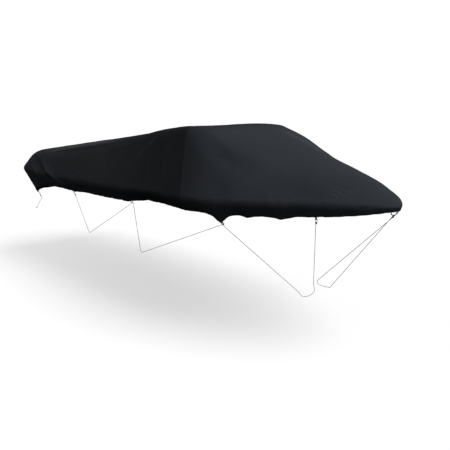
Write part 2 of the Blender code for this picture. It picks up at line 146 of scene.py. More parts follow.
def unit(vectors):
    """Vectors of length one, in an array of any shape."""
    length = np.linalg.norm(vectors, axis=-1, keepdims=True)
    return vectors / np.maximum(length, 1e-9)


def distance_along(points):
    """How far each point lies from the first, along its line or lines."""
    steps = np.linalg.norm(np.diff(points, axis=0), axis=-1)
    return np.concatenate((np.zeros_like(steps[:1]), np.cumsum(steps, axis=0)))


def cubic(t, span, first, last, slope_out, slope_in):
    """A cubic over a span, with a value and a slope at each end; t goes from 0 to 1."""
    start = (2 * t ** 3 - 3 * t ** 2 + 1) * first
    start += (t ** 3 - 2 * t ** 2 + t) * span * slope_out
    end = (3 * t ** 2 - 2 * t ** 3) * last
    end += (t ** 3 - t ** 2) * span * slope_in
    return start + end


def smooth_route(points, step):
    """Points of a smooth curve through a route, straight along its long legs."""
    points = np.array(points)
    runs = np.diff(points, axis=0)
    lengths = np.linalg.norm(runs, axis=1)
    ways = runs / lengths[:, None]
    tangents = [ways[0]]
    for i in range(1, len(runs)):
        if lengths[i - 1] > LONG_LEG:
            tangents.append(ways[i - 1])
        elif lengths[i] > LONG_LEG:
            tangents.append(ways[i])
        else:
            tangents.append(unit(ways[i - 1] * lengths[i] + ways[i] * lengths[i - 1]))
    tangents.append(ways[-1])
    curve = []
    for i, length in enumerate(lengths):
        steps = 1 if length > LONG_LEG else ceil(length / step)
        for t in np.arange(steps) / steps:
            curve.append(cubic(t, length, points[i], points[i + 1], tangents[i], tangents[i + 1]))
    curve.append(points[-1])
    return np.array(curve)


def swept_piece(name, rings, across, along, uv_name, finish):
    """A closed strip or cord, ring by ring, with U from across and V from along."""
    shell = bmesh.new()
    coordinates = shell.loops.layers.uv.new(uv_name)
    rings = [[shell.verts.new(point) for point in ring] for ring in rings]
    count = len(rings[0])
    for i in range(len(rings) - 1):
        for k in range(count):
            after = (k + 1) % count
            face = shell.faces.new((rings[i][k], rings[i][after],
                                    rings[i + 1][after], rings[i + 1][k]))
            face.smooth = True
            corners = ((k, i), (k + 1, i), (k + 1, i + 1), (k, i + 1))
            for loop, (around, ahead) in zip(face.loops, corners):
                loop[coordinates].uv = (across[around], along[ahead])
    shell.faces.new(rings[0][::-1])
    shell.faces.new(rings[-1])
    bmesh.ops.recalc_face_normals(shell, faces=shell.faces)
    mesh = bpy.data.meshes.new(name)
    shell.to_mesh(mesh)
    shell.free()
    mesh.materials.append(finish)
    return put_in_scene(name, mesh)


def round_tube(name, line, thickness, sides, finish):
    """A round cord along a line, with U round it and V along it in metres."""
    ways = unit(np.gradient(line, axis=0))
    across = np.cross(ways[0], (0.0, 0.0, 1.0))
    if np.linalg.norm(across) < NEARLY_UPRIGHT:
        across = np.cross(ways[0], (1.0, 0.0, 0.0))
    turns = [2 * pi * k / sides for k in range(sides)]
    rings = []
    for place, way in zip(line, ways):
        across = unit(across - way * (across @ way))
        other = np.cross(way, across)
        rings.append([place + (across * cos(turn) + other * sin(turn)) * thickness / 2
                      for turn in turns])
    around = [k / sides for k in range(sides + 1)]
    return swept_piece(name, rings, around, distance_along(line), "along_cord", finish)


def set_inputs(tree, node, values):
    """Sets inputs by name or number, each to a value or to another node's output."""
    for label, value in values.items():
        if isinstance(value, bpy.types.NodeSocket):
            tree.links.new(value, node.inputs[label])
        else:
            node.inputs[label].default_value = value


def add_node(tree, kind, values=None, **settings):
    """A new node with its settings and then its inputs."""
    node = tree.nodes.new(kind)
    for setting, choice in settings.items():
        setattr(node, setting, choice)
    set_inputs(tree, node, values or {})
    return node


def plain_finish(name):
    """A new material, with its node tree and its shader."""
    finish = bpy.data.materials.new(name)
    finish.use_nodes = True
    return finish, finish.node_tree, finish.node_tree.nodes["Principled BSDF"]


def reckon(tree, operation, *values):
    """A maths node; each value is a number or another node's output."""
    numbered = dict(enumerate(values))
    return add_node(tree, "ShaderNodeMath", numbered, operation=operation).outputs[0]


def blend_colours(tree, share, first, second):
    """A colour between two colours, by a share from 0 to 1."""
    blend = add_node(tree, "ShaderNodeMix", {"Factor": share, 6: first, 7: second},
                     data_type="RGBA")
    return blend.outputs[2]


def raise_surface(tree, shader, raised, depth, strength):
    """Bump from a height mask from 0 to 1, that deep in metres."""
    bump = add_node(tree, "ShaderNodeBump",
                    {"Strength": strength, "Distance": depth, "Height": raised})
    set_inputs(tree, shader, {"Normal": bump.outputs["Normal"]})


def uv_parts(tree, uv_name):
    """U and V of a piece's own map."""
    place = add_node(tree, "ShaderNodeUVMap", uv_map=uv_name)
    parts = add_node(tree, "ShaderNodeSeparateXYZ", {0: place.outputs["UV"]})
    return parts.outputs["X"], parts.outputs["Y"]


def braided_cord():
    """Light grey braid: two sets of strands that cross round the cord."""
    finish, tree, shader = plain_finish("braided_tie_cord")
    u, v = uv_parts(tree, "along_cord")
    around = reckon(tree, "MULTIPLY", u, STRANDS * 2 * pi)
    along = reckon(tree, "MULTIPLY", v, 2 * pi / BRAID_PITCH)
    right = reckon(tree, "SINE", reckon(tree, "ADD", around, along))
    left = reckon(tree, "SINE", reckon(tree, "SUBTRACT", around, along))
    crossing = reckon(tree, "MULTIPLY", right, left)
    raised = reckon(tree, "MULTIPLY_ADD", crossing, 0.5, 0.5)
    soil = add_node(tree, "ShaderNodeTexNoise", {"Scale": 14.0, "Detail": 4.0})
    worn = reckon(tree, "MULTIPLY", soil.outputs["Fac"], TIE_SOIL)
    share = reckon(tree, "MULTIPLY_ADD", raised, 0.5, worn)
    colour = blend_colours(tree, share, TIE_SHADE, TIE_COLOUR)
    set_inputs(tree, shader, {"Base Color": colour, "Roughness": 0.72})
    raise_surface(tree, shader, raised, BRAID_DEPTH, BRAID_RELIEF)
    return finish


def legs_through(line, middle, way):
    """Where the cord's legs pass the plane of a knot, close to its middle."""
    off = (line - middle) @ unit(np.array(way))
    legs = []
    for i in np.nonzero(off[:-1] * off[1:] <= 0)[0]:
        leg = line[i] + (line[i + 1] - line[i]) * off[i] / (off[i] - off[i + 1])
        if np.linalg.norm(leg - middle) < KNOT_REACH:
            legs.append(leg)
    return np.array(legs)


def knot_turns(name, line, middle, way, finish):
    """Turns of the cord laid side by side round the legs that a knot binds."""
    centres = legs_through(line, middle, way)
    middle = centres.mean(axis=0)
    way = unit(np.array(way))
    side = unit(np.cross(way, KNOT_START))
    other = np.cross(way, side)
    flat = np.stack(((centres - middle) @ side, (centres - middle) @ other), axis=1)
    turns = []
    for k in range(KNOT_TURNS * KNOT_STEPS + 1):
        turn = 2 * pi * k / KNOT_STEPS
        reach = np.array((cos(turn), sin(turn)))
        corner = flat[np.argmax(flat @ reach)] + reach * TIE * KNOT_GRIP
        climb = (turn / (2 * pi) - KNOT_TURNS / 2) * TIE * KNOT_PITCH
        turns.append(middle + side * corner[0] + other * corner[1] + way * climb)
    smooth = np.array(turns)
    smooth[1:-1] = (smooth[:-2] + 2 * smooth[1:-1] + smooth[2:]) / 4
    return round_tube(name, smooth, TIE, KNOT_SIDES, finish)


cord_finish = braided_cord()
TIES = (
    # node, route, far end, knots: name, middle, way of the legs
    ("tie_side", TIE_SIDE_ROUTE, "object", (
        ("aft", (-2.2675, -0.8665, -0.9950), (0.0, 0.27, -0.96)),
        ("quarter", (1.6435, -0.4535, -0.7595), (-0.44, 0.41, -0.80)),
    )),
    ("tie_bow", TIE_BOW_ROUTE, "object", (
        ("bow", (2.1150, 0.0413, -0.6915), (-0.73, 0.0, -0.68)),
    )),
    ("tie_stern", TIE_STERN_ROUTE, "knot", (
        ("stern", (-3.3690, -0.8395, -1.1595), (0.55, 0.12, -0.82)),
        ("transom", (-3.6060, -0.8020, -1.3702), (-0.81, 0.1, -0.57)),
    )),
)
for node, route, far_end, knots in TIES:
    line = smooth_route(route, BEND_STEP)
    rope = round_tube(node + "_cord", line, TIE, TIE_SIDES, cord_finish)
    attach(rope, "root")
    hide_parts(node)
    for place, middle, way in knots:
        binding = knot_turns(f"knot_{place}", line, middle, way, cord_finish)
        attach(binding, "root")


# ------------------------------------------------------------- front panel
# Black polyester cloth with a coated back, cut and sewn to fit from the
# windscreen's top rail to the bow. The boat's deck and rub rail carry it, and
# its edge is turned in and sewn down as a hem under the rail.
CLOTH = 0.0010              # the cloth with its coating
CLOTH_STANDS_OFF = 0.0012   # inner face of the cloth, off the fitted shape

SCREEN_HALF = 0.70          # half the length of the windscreen's top rail
SCREEN_HEIGHT = 0.68        # of that rail above the rub rail
POST_RAKE = 0.32            # foot of the screen's side post, ahead of its head
HALF_BEAM = 1.03            # at the rub rail, beside the screen
HEM_TUCK = 0.06             # how far the hem is drawn in under the rub rail

BOW_CROWN = 1.77            # where the crown line ends, over the foredeck
BOW_EDGE = 2.00
BOW_RAIL = 2.225
BOW_HEM = 2.20
BOW_EDGE_FULLNESS = 1.8     # exponents of the plan curves; 2 is an ellipse
BOW_RAIL_FULLNESS = 1.43

# Heights of the cover's lines along the boat. "lean" lifts the near edge and
# lowers the far one, as cloth lies that is pulled harder on the far side.
HEIGHTS = (
    # x,    crown,   edge,    rail,    hem,    lean
    (-3.70, -0.535, -0.578, -0.780, -0.985, 0.000),
    (-2.80, -0.415, -0.448, -0.790, -0.950, 0.010),
    (-1.85, -0.262, -0.304, -0.768, -0.908, 0.016),
    (-0.90, -0.122, -0.156, -0.728, -0.862, 0.024),
    (-0.35, -0.034, -0.052, -0.694, -0.788, 0.032),
    (0.00, 0.000, -0.022, -0.680, -0.780, 0.038),
    (0.35, -0.042, -0.108, -0.664, -0.780, 0.034),
    (0.75, -0.146, -0.260, -0.642, -0.760, 0.032),
    (1.05, -0.234, -0.360, -0.620, -0.744, 0.022),
    (1.40, -0.312, -0.412, -0.596, -0.716, 0.012),
    (1.70, -0.366, -0.438, -0.578, -0.694, 0.006),
    (2.00, -0.414, -0.462, -0.572, -0.658, 0.000),
    (2.30, -0.450, -0.495, -0.570, -0.606, 0.000),
)
X, CROWN, EDGE, RAIL, HEM, LEAN = range(6)
LEAN_FADE = 0.15            # the lean dies out this close to the centreline

# Where a tie or the elastic pulls the hem down: side, x of the pull, depth, how
# far it reaches aft and forward, and how round its tip is.
HEM_PULLS = (
    (-1, -3.42, 0.145, 0.13, 0.13, 1.0),
    (-1, -2.18, 0.016, 0.12, 0.12, 1.0),
    (-1, -0.85, 0.012, 0.10, 0.10, 1.0),
    (-1, 0.7795, 0.088, 0.100, 0.068, 1.6),
    (-1, 1.06, 0.022, 0.06, 0.06, 1.0),
    (-1, 1.38, 0.032, 0.09, 0.09, 1.3),
    (1, -3.42, 0.100, 0.15, 0.15, 1.0),
    (1, -0.85, 0.014, 0.10, 0.10, 1.0),
    (1, 0.77, 0.045, 0.08, 0.08, 1.2),
    (1, 1.65, 0.016, 0.10, 0.10, 1.0),
)

# Main folds of the drawn cloth, each a soft line between two points on it.
# from x, y, z, to x, y, z, half width, height (a trough is negative)
FOLDS = (
    (-3.14, -0.93, -0.58, -2.80, -0.97, -0.74, 0.050, 0.016),
    (-2.80, -0.97, -0.74, -2.38, -0.94, -0.88, 0.050, 0.018),
    (-3.24, -0.95, -0.66, -2.66, -0.98, -0.86, 0.055, -0.014),
    (-3.36, -0.95, -0.68, -2.98, -0.95, -0.92, 0.050, 0.012),
    (-2.95, -0.89, -0.50, -2.20, -0.90, -0.42, 0.050, -0.014),
    (-2.20, -0.90, -0.42, -1.50, -0.86, -0.32, 0.045, -0.010),
    (-0.62, -0.79, -0.16, -0.44, -0.97, -0.58, 0.060, -0.008),
    (-0.40, -0.75, -0.09, 0.02, -1.00, -0.62, 0.060, -0.010),
    (0.10, -0.69, -0.06, 0.67, -0.70, -0.27, 0.110, -0.012),
    (0.67, -0.70, -0.27, 1.42, -0.55, -0.46, 0.130, -0.014),
    (-3.10, 0.93, -0.60, -2.50, 0.97, -0.86, 0.060, -0.016),
    (-0.50, 0.76, -0.12, -0.20, 0.98, -0.62, 0.070, -0.010),
    (-2.60, 0.10, -0.33, -1.10, 0.45, -0.14, 0.180, -0.014),
    (-2.40, -0.42, -0.33, -1.30, -0.30, -0.17, 0.160, -0.012),
)
FOLDS_FADE = 0.12           # the main folds die out this close to the seam
FOLDS_FADE_ASIDE = 0.10     # and this close to the crown line

# Creases of the front panel: half width, height, points along it.
FRONT_CREASES = (
    (0.011, 0.0024, (1.702, -0.385, -0.482), (1.771, -0.366, -0.502), (1.843, -0.350, -0.530)),
    (0.011, 0.0028, (1.712, -0.344, -0.457), (1.801, -0.320, -0.484), (1.891, -0.299, -0.519)),
    (0.010, 0.0022, (1.760, -0.292, -0.447), (1.831, -0.276, -0.471), (1.906, -0.264, -0.503)),
    (0.010, 0.0018, (1.817, -0.261, -0.457), (1.880, -0.250, -0.481), (1.934, -0.243, -0.506)),
    (0.020, -0.0030, (1.980, -0.330, -0.590), (2.060, -0.230, -0.590), (2.120, -0.130, -0.588)),
    (0.016, 0.0016, (0.397, -0.994, -0.624), (0.507, -0.976, -0.631), (0.636, -0.950, -0.655),
     (0.740, -0.905, -0.720)),
    (0.018, -0.0020, (0.790, -0.900, -0.720), (0.765, -0.900, -0.640), (0.745, -0.880, -0.560)),
    (0.018, 0.0016, (0.840, -0.880, -0.720), (0.930, -0.865, -0.640), (1.030, -0.820, -0.570)),
    (0.020, 0.0012, (1.370, -0.690, -0.650), (1.300, -0.700, -0.560), (1.200, -0.690, -0.490)),
    (0.018, 0.0012, (1.400, -0.680, -0.640), (1.470, -0.620, -0.560), (1.560, -0.530, -0.490)),
    (0.080, -0.0040, (0.060, -0.640, -0.030), (0.300, -0.700, -0.130), (0.560, -0.710, -0.240),
     (0.800, -0.690, -0.330)),
    (0.090, 0.0030, (0.250, 0.250, -0.060), (0.700, 0.330, -0.170), (1.150, 0.330, -0.290)),
    (0.024, 0.0030, (0.770, 0.905, -0.690), (0.640, 0.930, -0.590), (0.500, 0.890, -0.470)),
    (0.022, 0.0026, (0.800, 0.890, -0.690), (0.910, 0.860, -0.600), (1.060, 0.790, -0.520)),
    (0.018, 0.0022, (1.650, 0.520, -0.620), (1.560, 0.560, -0.540), (1.450, 0.560, -0.480)),
    (0.014, 0.0024, (1.720, 0.380, -0.480), (1.820, 0.350, -0.520), (1.930, 0.310, -0.560)),
    (0.012, 0.0020, (1.800, 0.240, -0.450), (1.890, 0.220, -0.480), (1.970, 0.190, -0.510)),
)
CREASE_END_RATE = 3.2       # a crease tapers off over a third of it at each end
CREASE_END_POWER = 0.7
CREASE_SWELL = (0.30, 31)   # its height varies along it, by this share at this rate
CREASE_RIPPLE = (0.15, 83)  # and by this much more, faster
CREASE_SIDES = (0.35, 2.2)  # the cloth beside it is drawn the other way: share of
                            # its height, and reach in half widths
CREST_WIDTH = 1.4           # the paler crest, worn and with a painted highlight, is this much narrower than the crease
CREST_RISE = 0.004          # a crest this high is painted paler, for wear and a painted highlight, and a higher one more,
MOST_WORN_AND_LIT = 1.5           # up to this many times as much
OFF_THE_CLOTH = 0.92        # share of a crease's distance off the cloth left out
FAR_AWAY = 9.0              # further than any two points of the cover

# Gathers above the hem's elastic: width, length, height, how far they reach up,
# and the seed of their noise.
GATHERS = (
    (0.055, 0.30, 0.0050, 0.070, 7.3),
    (0.140, 0.60, 0.0050, 0.120, 3.1),
)
GATHERS_FADE = 0.10         # the gathers die out this close to the crown line
FAN_MISS = 0.1              # a pull further than this from a panel is not its own
FAN_FINENESS = 8.5          # how closely the wrinkles of a pull's fan lie
FAN_SHIFT = 3               # how much the fans differ from pull to pull
FAN_CURL = 4                # how much the wrinkles bend on their way out
FAN_CENTRE = 0.03           # the fan opens from this far below the hem
FAN_RISE = (0.0012, 0.030, 0.0038)       # least, gain with the pull's depth, most
FAN_REACH = 0.08            # how far it reaches, beside the pull's depth
FAN_CLEAR = 0.04            # the middle of the fan is flat
HEM_WAVE = (0.075, 0.0035, 0.03)         # of its edge: length, depth, how far up
HEM_WAVE_SEED = 2.4

# Slack of the whole cloth: height, size of its swells, seed of their noise.
SLACK = (
    (0.0034, 0.60, 1.7),
    (0.0024, 0.23, 5.2),
    (0.0010, 0.075, 8.8),
)
SLACK_FADE = 0.05           # creases, gathers and slack die out this close to the seam

SECTION_STEPS = (16, 12, 10, 10, 4)      # top, edge, side, rub rail, tuck
EDGE_ROUND = 0.12           # length that the upper edge's rounding takes each way
BOW_EDGE_ROUND = 0.62       # the same at the stem
RAIL_ROUND = 0.05           # and at the rub rail
SHOULDER = 0.5              # how far out the top stays as high as the crown line
HEM_CROWDING = 0.6          # rows lie closest together at the hem
HEM_TRIES = 301             # places tried along a hem, to space its columns evenly

FRONT_COLUMNS = 21          # fan lines of the fitted shape, seam to bow
FRONT_SPREAD = 205          # columns of the cloth on each side
ROWS = 96                   # rows of both panels, from the crown to the hem
LAP = (0.012, 0.0095, 0.003)             # the front panel laps over the seam
LAP_LIFT = 0.0013           # its edge lies this much higher than a cloth's thickness
SEAM_RIDGE = 0.0045         # the sewn seam stands proud of the cloth beside it
SEAM_RIDGE_WIDTH = 0.020
HEM_FOLD = 0.0004           # half the gap inside the turned-in hem
HEM_TURN = (45, 90, 135, 180)            # degrees of the turn at the hem's edge
HEM_BACK = (2, 3)           # rows of the cloth that the turned-in hem lies behind

WEAVE_PITCH = 0.0008        # one wave of the weave, over and under
CLOUD_FADE = 0.42           # what lifts the colour: faded clouds, crests paler for wear and a painted highlight
CREST_LIFT_WORN_AND_LIT = 0.25           # and the tops of the threads
WEAVE_FADE = 0.14
SEAM_RAKE = POST_RAKE / SCREEN_HEIGHT    # how far aft the seam leans as it rises
CREST_WEAR_AND_HIGHLIGHT = 0.60           # share of the chalky colour, for wear and a painted highlight, on the palest crest
CHALKY_WEAR_AND_HIGHLIGHT = (0.046, 0.049, 0.056, 1.0)
ROUGHNESS = 0.56            # of the blackest cloth; faded clouds are rougher
CLOUD_ROUGHENS = 0.22
CLOTH_DEPTH = 0.0016        # of the finish, in the two shares that follow
CRUMPLE_SHARE = 0.75
WEAVE_SHARE = 0.12
CLOTH_RELIEF = 0.55         # strength of the bump that shows it
# Colours of the front panel, painted paler than the rear panel's: painted light on the same cloth.
FRONT_PAINTED_LIGHT_DEEP = (0.0115, 0.0134, 0.0166, 1.0)
FRONT_PAINTED_LIGHT_PALE = (0.0340, 0.0394, 0.0485, 1.0)
# Painted shade along the seam, giving way to a little painted light ahead of it.
FRONT_PAINTED_SHADE_FROM = (0.0, 0.34)            # distances ahead of the seam
FRONT_PAINTED_SHADE = (-0.20, 0.13)               # share of the pale colour added at each


def height(x, column):
    """Height of a line of the cover at x: cubic pieces through the table."""
    rows = np.array(HEIGHTS)
    xs, values = rows[:, X], rows[:, column]
    slopes = np.gradient(values, xs)
    x = min(max(x, xs[0]), xs[-1])
    i = int(np.clip(np.searchsorted(xs, x, side="right") - 1, 0, len(xs) - 2))
    span = xs[i + 1] - xs[i]
    return cubic((x - xs[i]) / span, span, values[i], values[i + 1], slopes[i], slopes[i + 1])


def bow_plan(turn, x0, x1, half, fullness):
    """Plan curve from the side (turn 0) round to the stem (turn 1)."""
    angle = turn * pi / 2
    power = 2 / fullness
    return x0 + (x1 - x0) * sin(angle) ** power, half * max(cos(angle), 0.0) ** power


def hem_pull(x, side):
    """How far the ties pull the hem down at x on one side."""
    drop = 0.0
    for pull_side, centre, depth, aft, forward, roundness in HEM_PULLS:
        if pull_side == side:
            away = abs(x - centre) / (aft if x < centre else forward)
            drop += depth * np.exp(-away ** roundness)
    return drop


def towards(start, end, distance):
    """A point on the way from start to end, at most 45% of the way."""
    run = end - start
    length = np.linalg.norm(run)
    return start + run / length * min(distance, 0.45 * length)


def straight(a, b, steps):
    """Points evenly from a to a step short of b."""
    return [a + (b - a) * i / steps for i in range(steps)]


def rounded(a, corner, b, steps):
    """A parabola that leaves a and reaches b along the lines to the corner."""
    points = []
    for i in range(steps):
        t = i / steps
        points.append((1 - t) ** 2 * a + 2 * t * (1 - t) * corner + t * t * b)
    return points


def cross_section(side, crown_x, edge, rail, hem, edge_round, steps):
    """Points from the crown line to the hem, on one side of the boat."""
    lean = side * height(edge[0], LEAN) * min(edge[1] / LEAN_FADE, 1.0)
    drop = hem_pull(hem[0], side)
    if hem[1] < LEAN_FADE and side > 0:
        drop += (hem_pull(hem[0], -1) - drop) * (1 - hem[1] / LEAN_FADE)
    crown = np.array((crown_x, 0.0, height(crown_x, CROWN)))
    edge = np.array((edge[0], side * edge[1], height(edge[0], EDGE) - lean))
    rail = np.array((rail[0], side * rail[1], height(rail[0], RAIL)))
    hem = np.array((hem[0], side * hem[1], height(hem[0], HEM) - drop))
    shoulder = crown + (edge - crown) * SHOULDER
    shoulder[2] = height(shoulder[0], CROWN)
    edge_in = towards(edge, shoulder, edge_round)
    edge_out = towards(edge, rail, edge_round)
    rail_in = towards(rail, edge, RAIL_ROUND)
    rail_out = towards(rail, hem, RAIL_ROUND)
    points = rounded(crown, shoulder, edge_in, steps[0])
    points += rounded(edge_in, edge, edge_out, steps[1])
    points += straight(edge_out, rail_in, steps[2])
    points += rounded(rail_in, rail, rail_out, steps[3])
    points += straight(rail_out, hem, steps[4])
    points.append(hem)
    return np.array(points)


def front_section(side, column, steps=SECTION_STEPS):
    """One fan line of the front panel, from its crown line to its hem."""
    turn = column / FRONT_COLUMNS
    edge = bow_plan(turn, 0.0, BOW_EDGE, SCREEN_HALF, BOW_EDGE_FULLNESS)
    rail = bow_plan(turn, POST_RAKE, BOW_RAIL, HALF_BEAM, BOW_RAIL_FULLNESS)
    hem = bow_plan(turn, POST_RAKE, BOW_HEM, HALF_BEAM - HEM_TUCK, BOW_RAIL_FULLNESS)
    edge_round = EDGE_ROUND + (BOW_EDGE_ROUND - EDGE_ROUND) * turn
    crown_x = BOW_CROWN * sin(turn * pi / 2)
    return cross_section(side, crown_x, edge, rail, hem, edge_round, steps)


def spread_columns(section, side, last, count):
    """Places from the seam to the centreline that lie evenly along the hem."""
    tries = np.linspace(0.0, last, HEM_TRIES)
    run = distance_along(np.array([section(side, c, (1, 1, 1, 1, 1))[-1] for c in tries]))
    return np.interp(np.linspace(0.0, run[-1], count + 1), run, tries)


def spread_rows(points, rows):
    """A section's points, spread anew, and how far each lies up from the hem."""
    run = distance_along(points)
    t = np.linspace(1.0, 0.0, rows + 1)
    up = run[-1] * (HEM_CROWDING * t + (1 - HEM_CROWDING) * t * t)
    spread = [np.interp(run[-1] - up, run, points[:, axis]) for axis in range(3)]
    return np.stack(spread, axis=1), up


def fitted_shape(section, last, columns, rows):
    """Grid of points from the near seam round the boat's end to the far seam."""
    even = spread_columns(section, -1, last, columns)
    places = [(-1, c) for c in even] + [(1, c) for c in even[-2::-1]]
    spread = [spread_rows(section(side, c), rows) for side, c in places]
    sides = np.array([side for side, c in places])
    return np.array([s[0] for s in spread]), np.array([s[1] for s in spread]), sides


def face_corners(grid):
    """Numbers of the points at the four corners of each face, corner by corner."""
    index = np.arange(grid.shape[0] * grid.shape[1]).reshape(grid.shape[:2])
    return index[:-1, :-1], index[1:, :-1], index[1:, 1:], index[:-1, 1:]


def cloth_normals(grid):
    """Unit normals away from the boat, the same for points that coincide."""
    flat = grid.reshape(-1, 3)
    ids = np.unique(np.round(flat, 6), axis=0, return_inverse=True)[1].reshape(-1)
    corners = face_corners(grid)
    a, b, c, d = (flat[corner] for corner in corners)
    faces = np.cross(c - a, d - b).reshape(-1, 3)
    total = np.zeros((ids.max() + 1, 3))
    for corner in corners:
        np.add.at(total, ids[corner.reshape(-1)], faces)
    normal = unit(total[ids]).reshape(grid.shape)
    return normal if normal[0, 0, 2] > 0 else -normal


def near(distance, reach):
    """From 0 at no distance up to 1, evenly over the reach."""
    return np.clip(distance / reach, 0, 1)


def main_folds(grid, from_seam):
    """Height of the main folds, which die out at the seam and the crown line."""
    lift = np.zeros(grid.shape[:2])
    for fold in FOLDS:
        start, end = np.array(fold[0:3]), np.array(fold[3:6])
        width, rise = fold[6:8]
        run = end - start
        t = np.clip(((grid - start) @ run) / (run @ run), 0, 1)
        away = np.linalg.norm(grid - (start + t[..., None] * run), axis=2)
        lift += rise * np.exp(-(away / width) ** 2)
    aside = near(np.abs(grid[..., 1]), FOLDS_FADE_ASIDE)
    return lift * near(from_seam, FOLDS_FADE) * aside ** 2 * (3 - 2 * aside)


def creases(grid, normal, lines):
    """Height of the listed creases, and how much their crests are painted paler, for wear and a
    painted highlight.
    """
    lift = np.zeros(grid.shape[:2])
    wear_and_highlight = np.zeros(grid.shape[:2])
    for number, (half_width, rise, *points) in enumerate(lines):
        points = np.array(points)
        runs = np.diff(points, axis=0)
        lengths = np.linalg.norm(runs, axis=1)
        starts = distance_along(points)
        nearest = np.full(lift.shape, FAR_AWAY)
        along = np.zeros(lift.shape)
        for start, run, length, before in zip(points, runs, lengths, starts):
            t = np.clip(((grid - start) @ run) / length ** 2, 0, 1)
            away = grid - (start + t[..., None] * run)
            off = (away * normal).sum(axis=2)
            beside = (away ** 2).sum(axis=2) - OFF_THE_CLOTH * off ** 2
            flat = np.sqrt(np.maximum(beside, 0.0))
            closer = flat < nearest
            nearest = np.where(closer, flat, nearest)
            along = np.where(closer, before + t * length, along)
        share = along / starts[-1]
        taper = np.clip(CREASE_END_RATE * np.minimum(share, 1 - share), 0, 1)
        taper = taper ** CREASE_END_POWER
        swell = CREASE_SWELL[0] * np.sin(along * CREASE_SWELL[1] + number)
        ripple = CREASE_RIPPLE[0] * np.sin(along * CREASE_RIPPLE[1] + 2 * number)
        crest = np.exp(-(nearest / half_width) ** 2) * taper * (1 + swell + ripple)
        hollow = np.exp(-(nearest / half_width / CREASE_SIDES[1]) ** 2) * taper
        lift += rise * (crest - CREASE_SIDES[0] * hollow)
        # A raised crease's crest is painted paler: partly wear, partly a painted highlight.
        if rise > 0:
            worn = min(rise / CREST_RISE, MOST_WORN_AND_LIT)
            wear_and_highlight += worn * np.exp(-(nearest / half_width * CREST_WIDTH) ** 2) * taper
    return lift, wear_and_highlight


def slow_noise(points, size, seed=0.0):
    """Smooth noise from -1 to 1 with features of that size, at many points."""
    shape = points.shape[:-1]
    flat = points.reshape(-1, 3) / size + seed
    return np.array([noise.noise(Vector(p)) for p in flat]).reshape(shape)


def hem_gathers(grid, up, sides):
    """Small gathers above the hem's elastic, and fans of wrinkles at its pulls."""
    hem = grid[:, -1]
    run = distance_along(hem)
    along = np.broadcast_to(run[:, None], up.shape)
    lift = np.zeros(up.shape)
    for width, length, rise, reach, seed in GATHERS:
        spot = np.stack((along / width, up / length, np.zeros(up.shape)), axis=2)
        lift += rise * slow_noise(spot, 1.0, seed) * np.exp(-up / reach)
    least, gain, most = FAN_RISE
    for side, centre, depth in [pull[:3] for pull in HEM_PULLS]:
        miss = np.abs(hem[:, 0] - centre) + np.where(sides == side, 0.0, FAR_AWAY)
        if miss.min() > FAN_MISS:
            continue
        here = along - run[int(np.argmin(miss))]
        away = np.hypot(here, up)
        angle = np.arctan2(here, up + FAN_CENTRE)
        fan = np.cos(FAN_FINENESS * angle + FAN_SHIFT * centre + FAN_CURL * away)
        fan *= min(least + gain * depth, most)
        lift += fan * np.exp(-away / (FAN_REACH + depth)) * near(away, FAN_CLEAR)
    return lift, run


def worn_in(grid, up, sides, from_seam, lines):
    """The fitted grid with its folds, creases and slack, and its crests paler for wear and a
    painted highlight.
    """
    normal = cloth_normals(grid)
    lift = main_folds(grid, from_seam)
    laid, wear_and_highlight = creases(grid, normal, lines)
    gathers, run = hem_gathers(grid, up, sides)
    gathers *= near(up[:, :1] - up, GATHERS_FADE)
    slack = sum(rise * slow_noise(grid, size, seed) for rise, size, seed in SLACK)
    lift += (laid + gathers + slack) * near(from_seam, SLACK_FADE)
    lift += SEAM_RIDGE * np.exp(-(from_seam / SEAM_RIDGE_WIDTH) ** 2)
    lower = unit(grid - np.roll(grid, 1, axis=1))
    lower[:, 0] = 0.0
    length, depth, reach = HEM_WAVE
    spot = np.stack((run / length, run * 0, run * 0), axis=1)
    dips = depth * slow_noise(spot, 1.0, HEM_WAVE_SEED) * near(from_seam[:, -1], SLACK_FADE)
    grid = grid + lower * (dips[:, None] * np.exp(-up / reach))[..., None]
    grid = grid + normal * (lift + CLOTH_STANDS_OFF)[..., None]
    return grid, np.clip(wear_and_highlight, 0, 1)


def distance_from_seam(grid):
    """How far each point lies from the seam, measured round the boat."""
    run = distance_along(grid)
    return np.minimum(run, run[-1] - run)


def with_hem(grid, wear_and_highlight):
    """Turns the last rows in and up again inside the cloth."""
    normal = cloth_normals(grid)
    edge, out = grid[:, -1], normal[:, -1]
    down = unit(edge - grid[:, -2])
    rows = []
    for degrees in HEM_TURN:
        angle = radians(degrees)
        rows.append(edge + HEM_FOLD * ((cos(angle) - 1) * out + sin(angle) * down))
    for back in HEM_BACK:
        rows.append(grid[:, -back] - 2 * HEM_FOLD * normal[:, -back])
    folded = np.concatenate((grid, np.stack(rows, axis=1)), axis=1)
    return folded, np.concatenate((wear_and_highlight, np.zeros((len(grid), len(rows)))), axis=1)


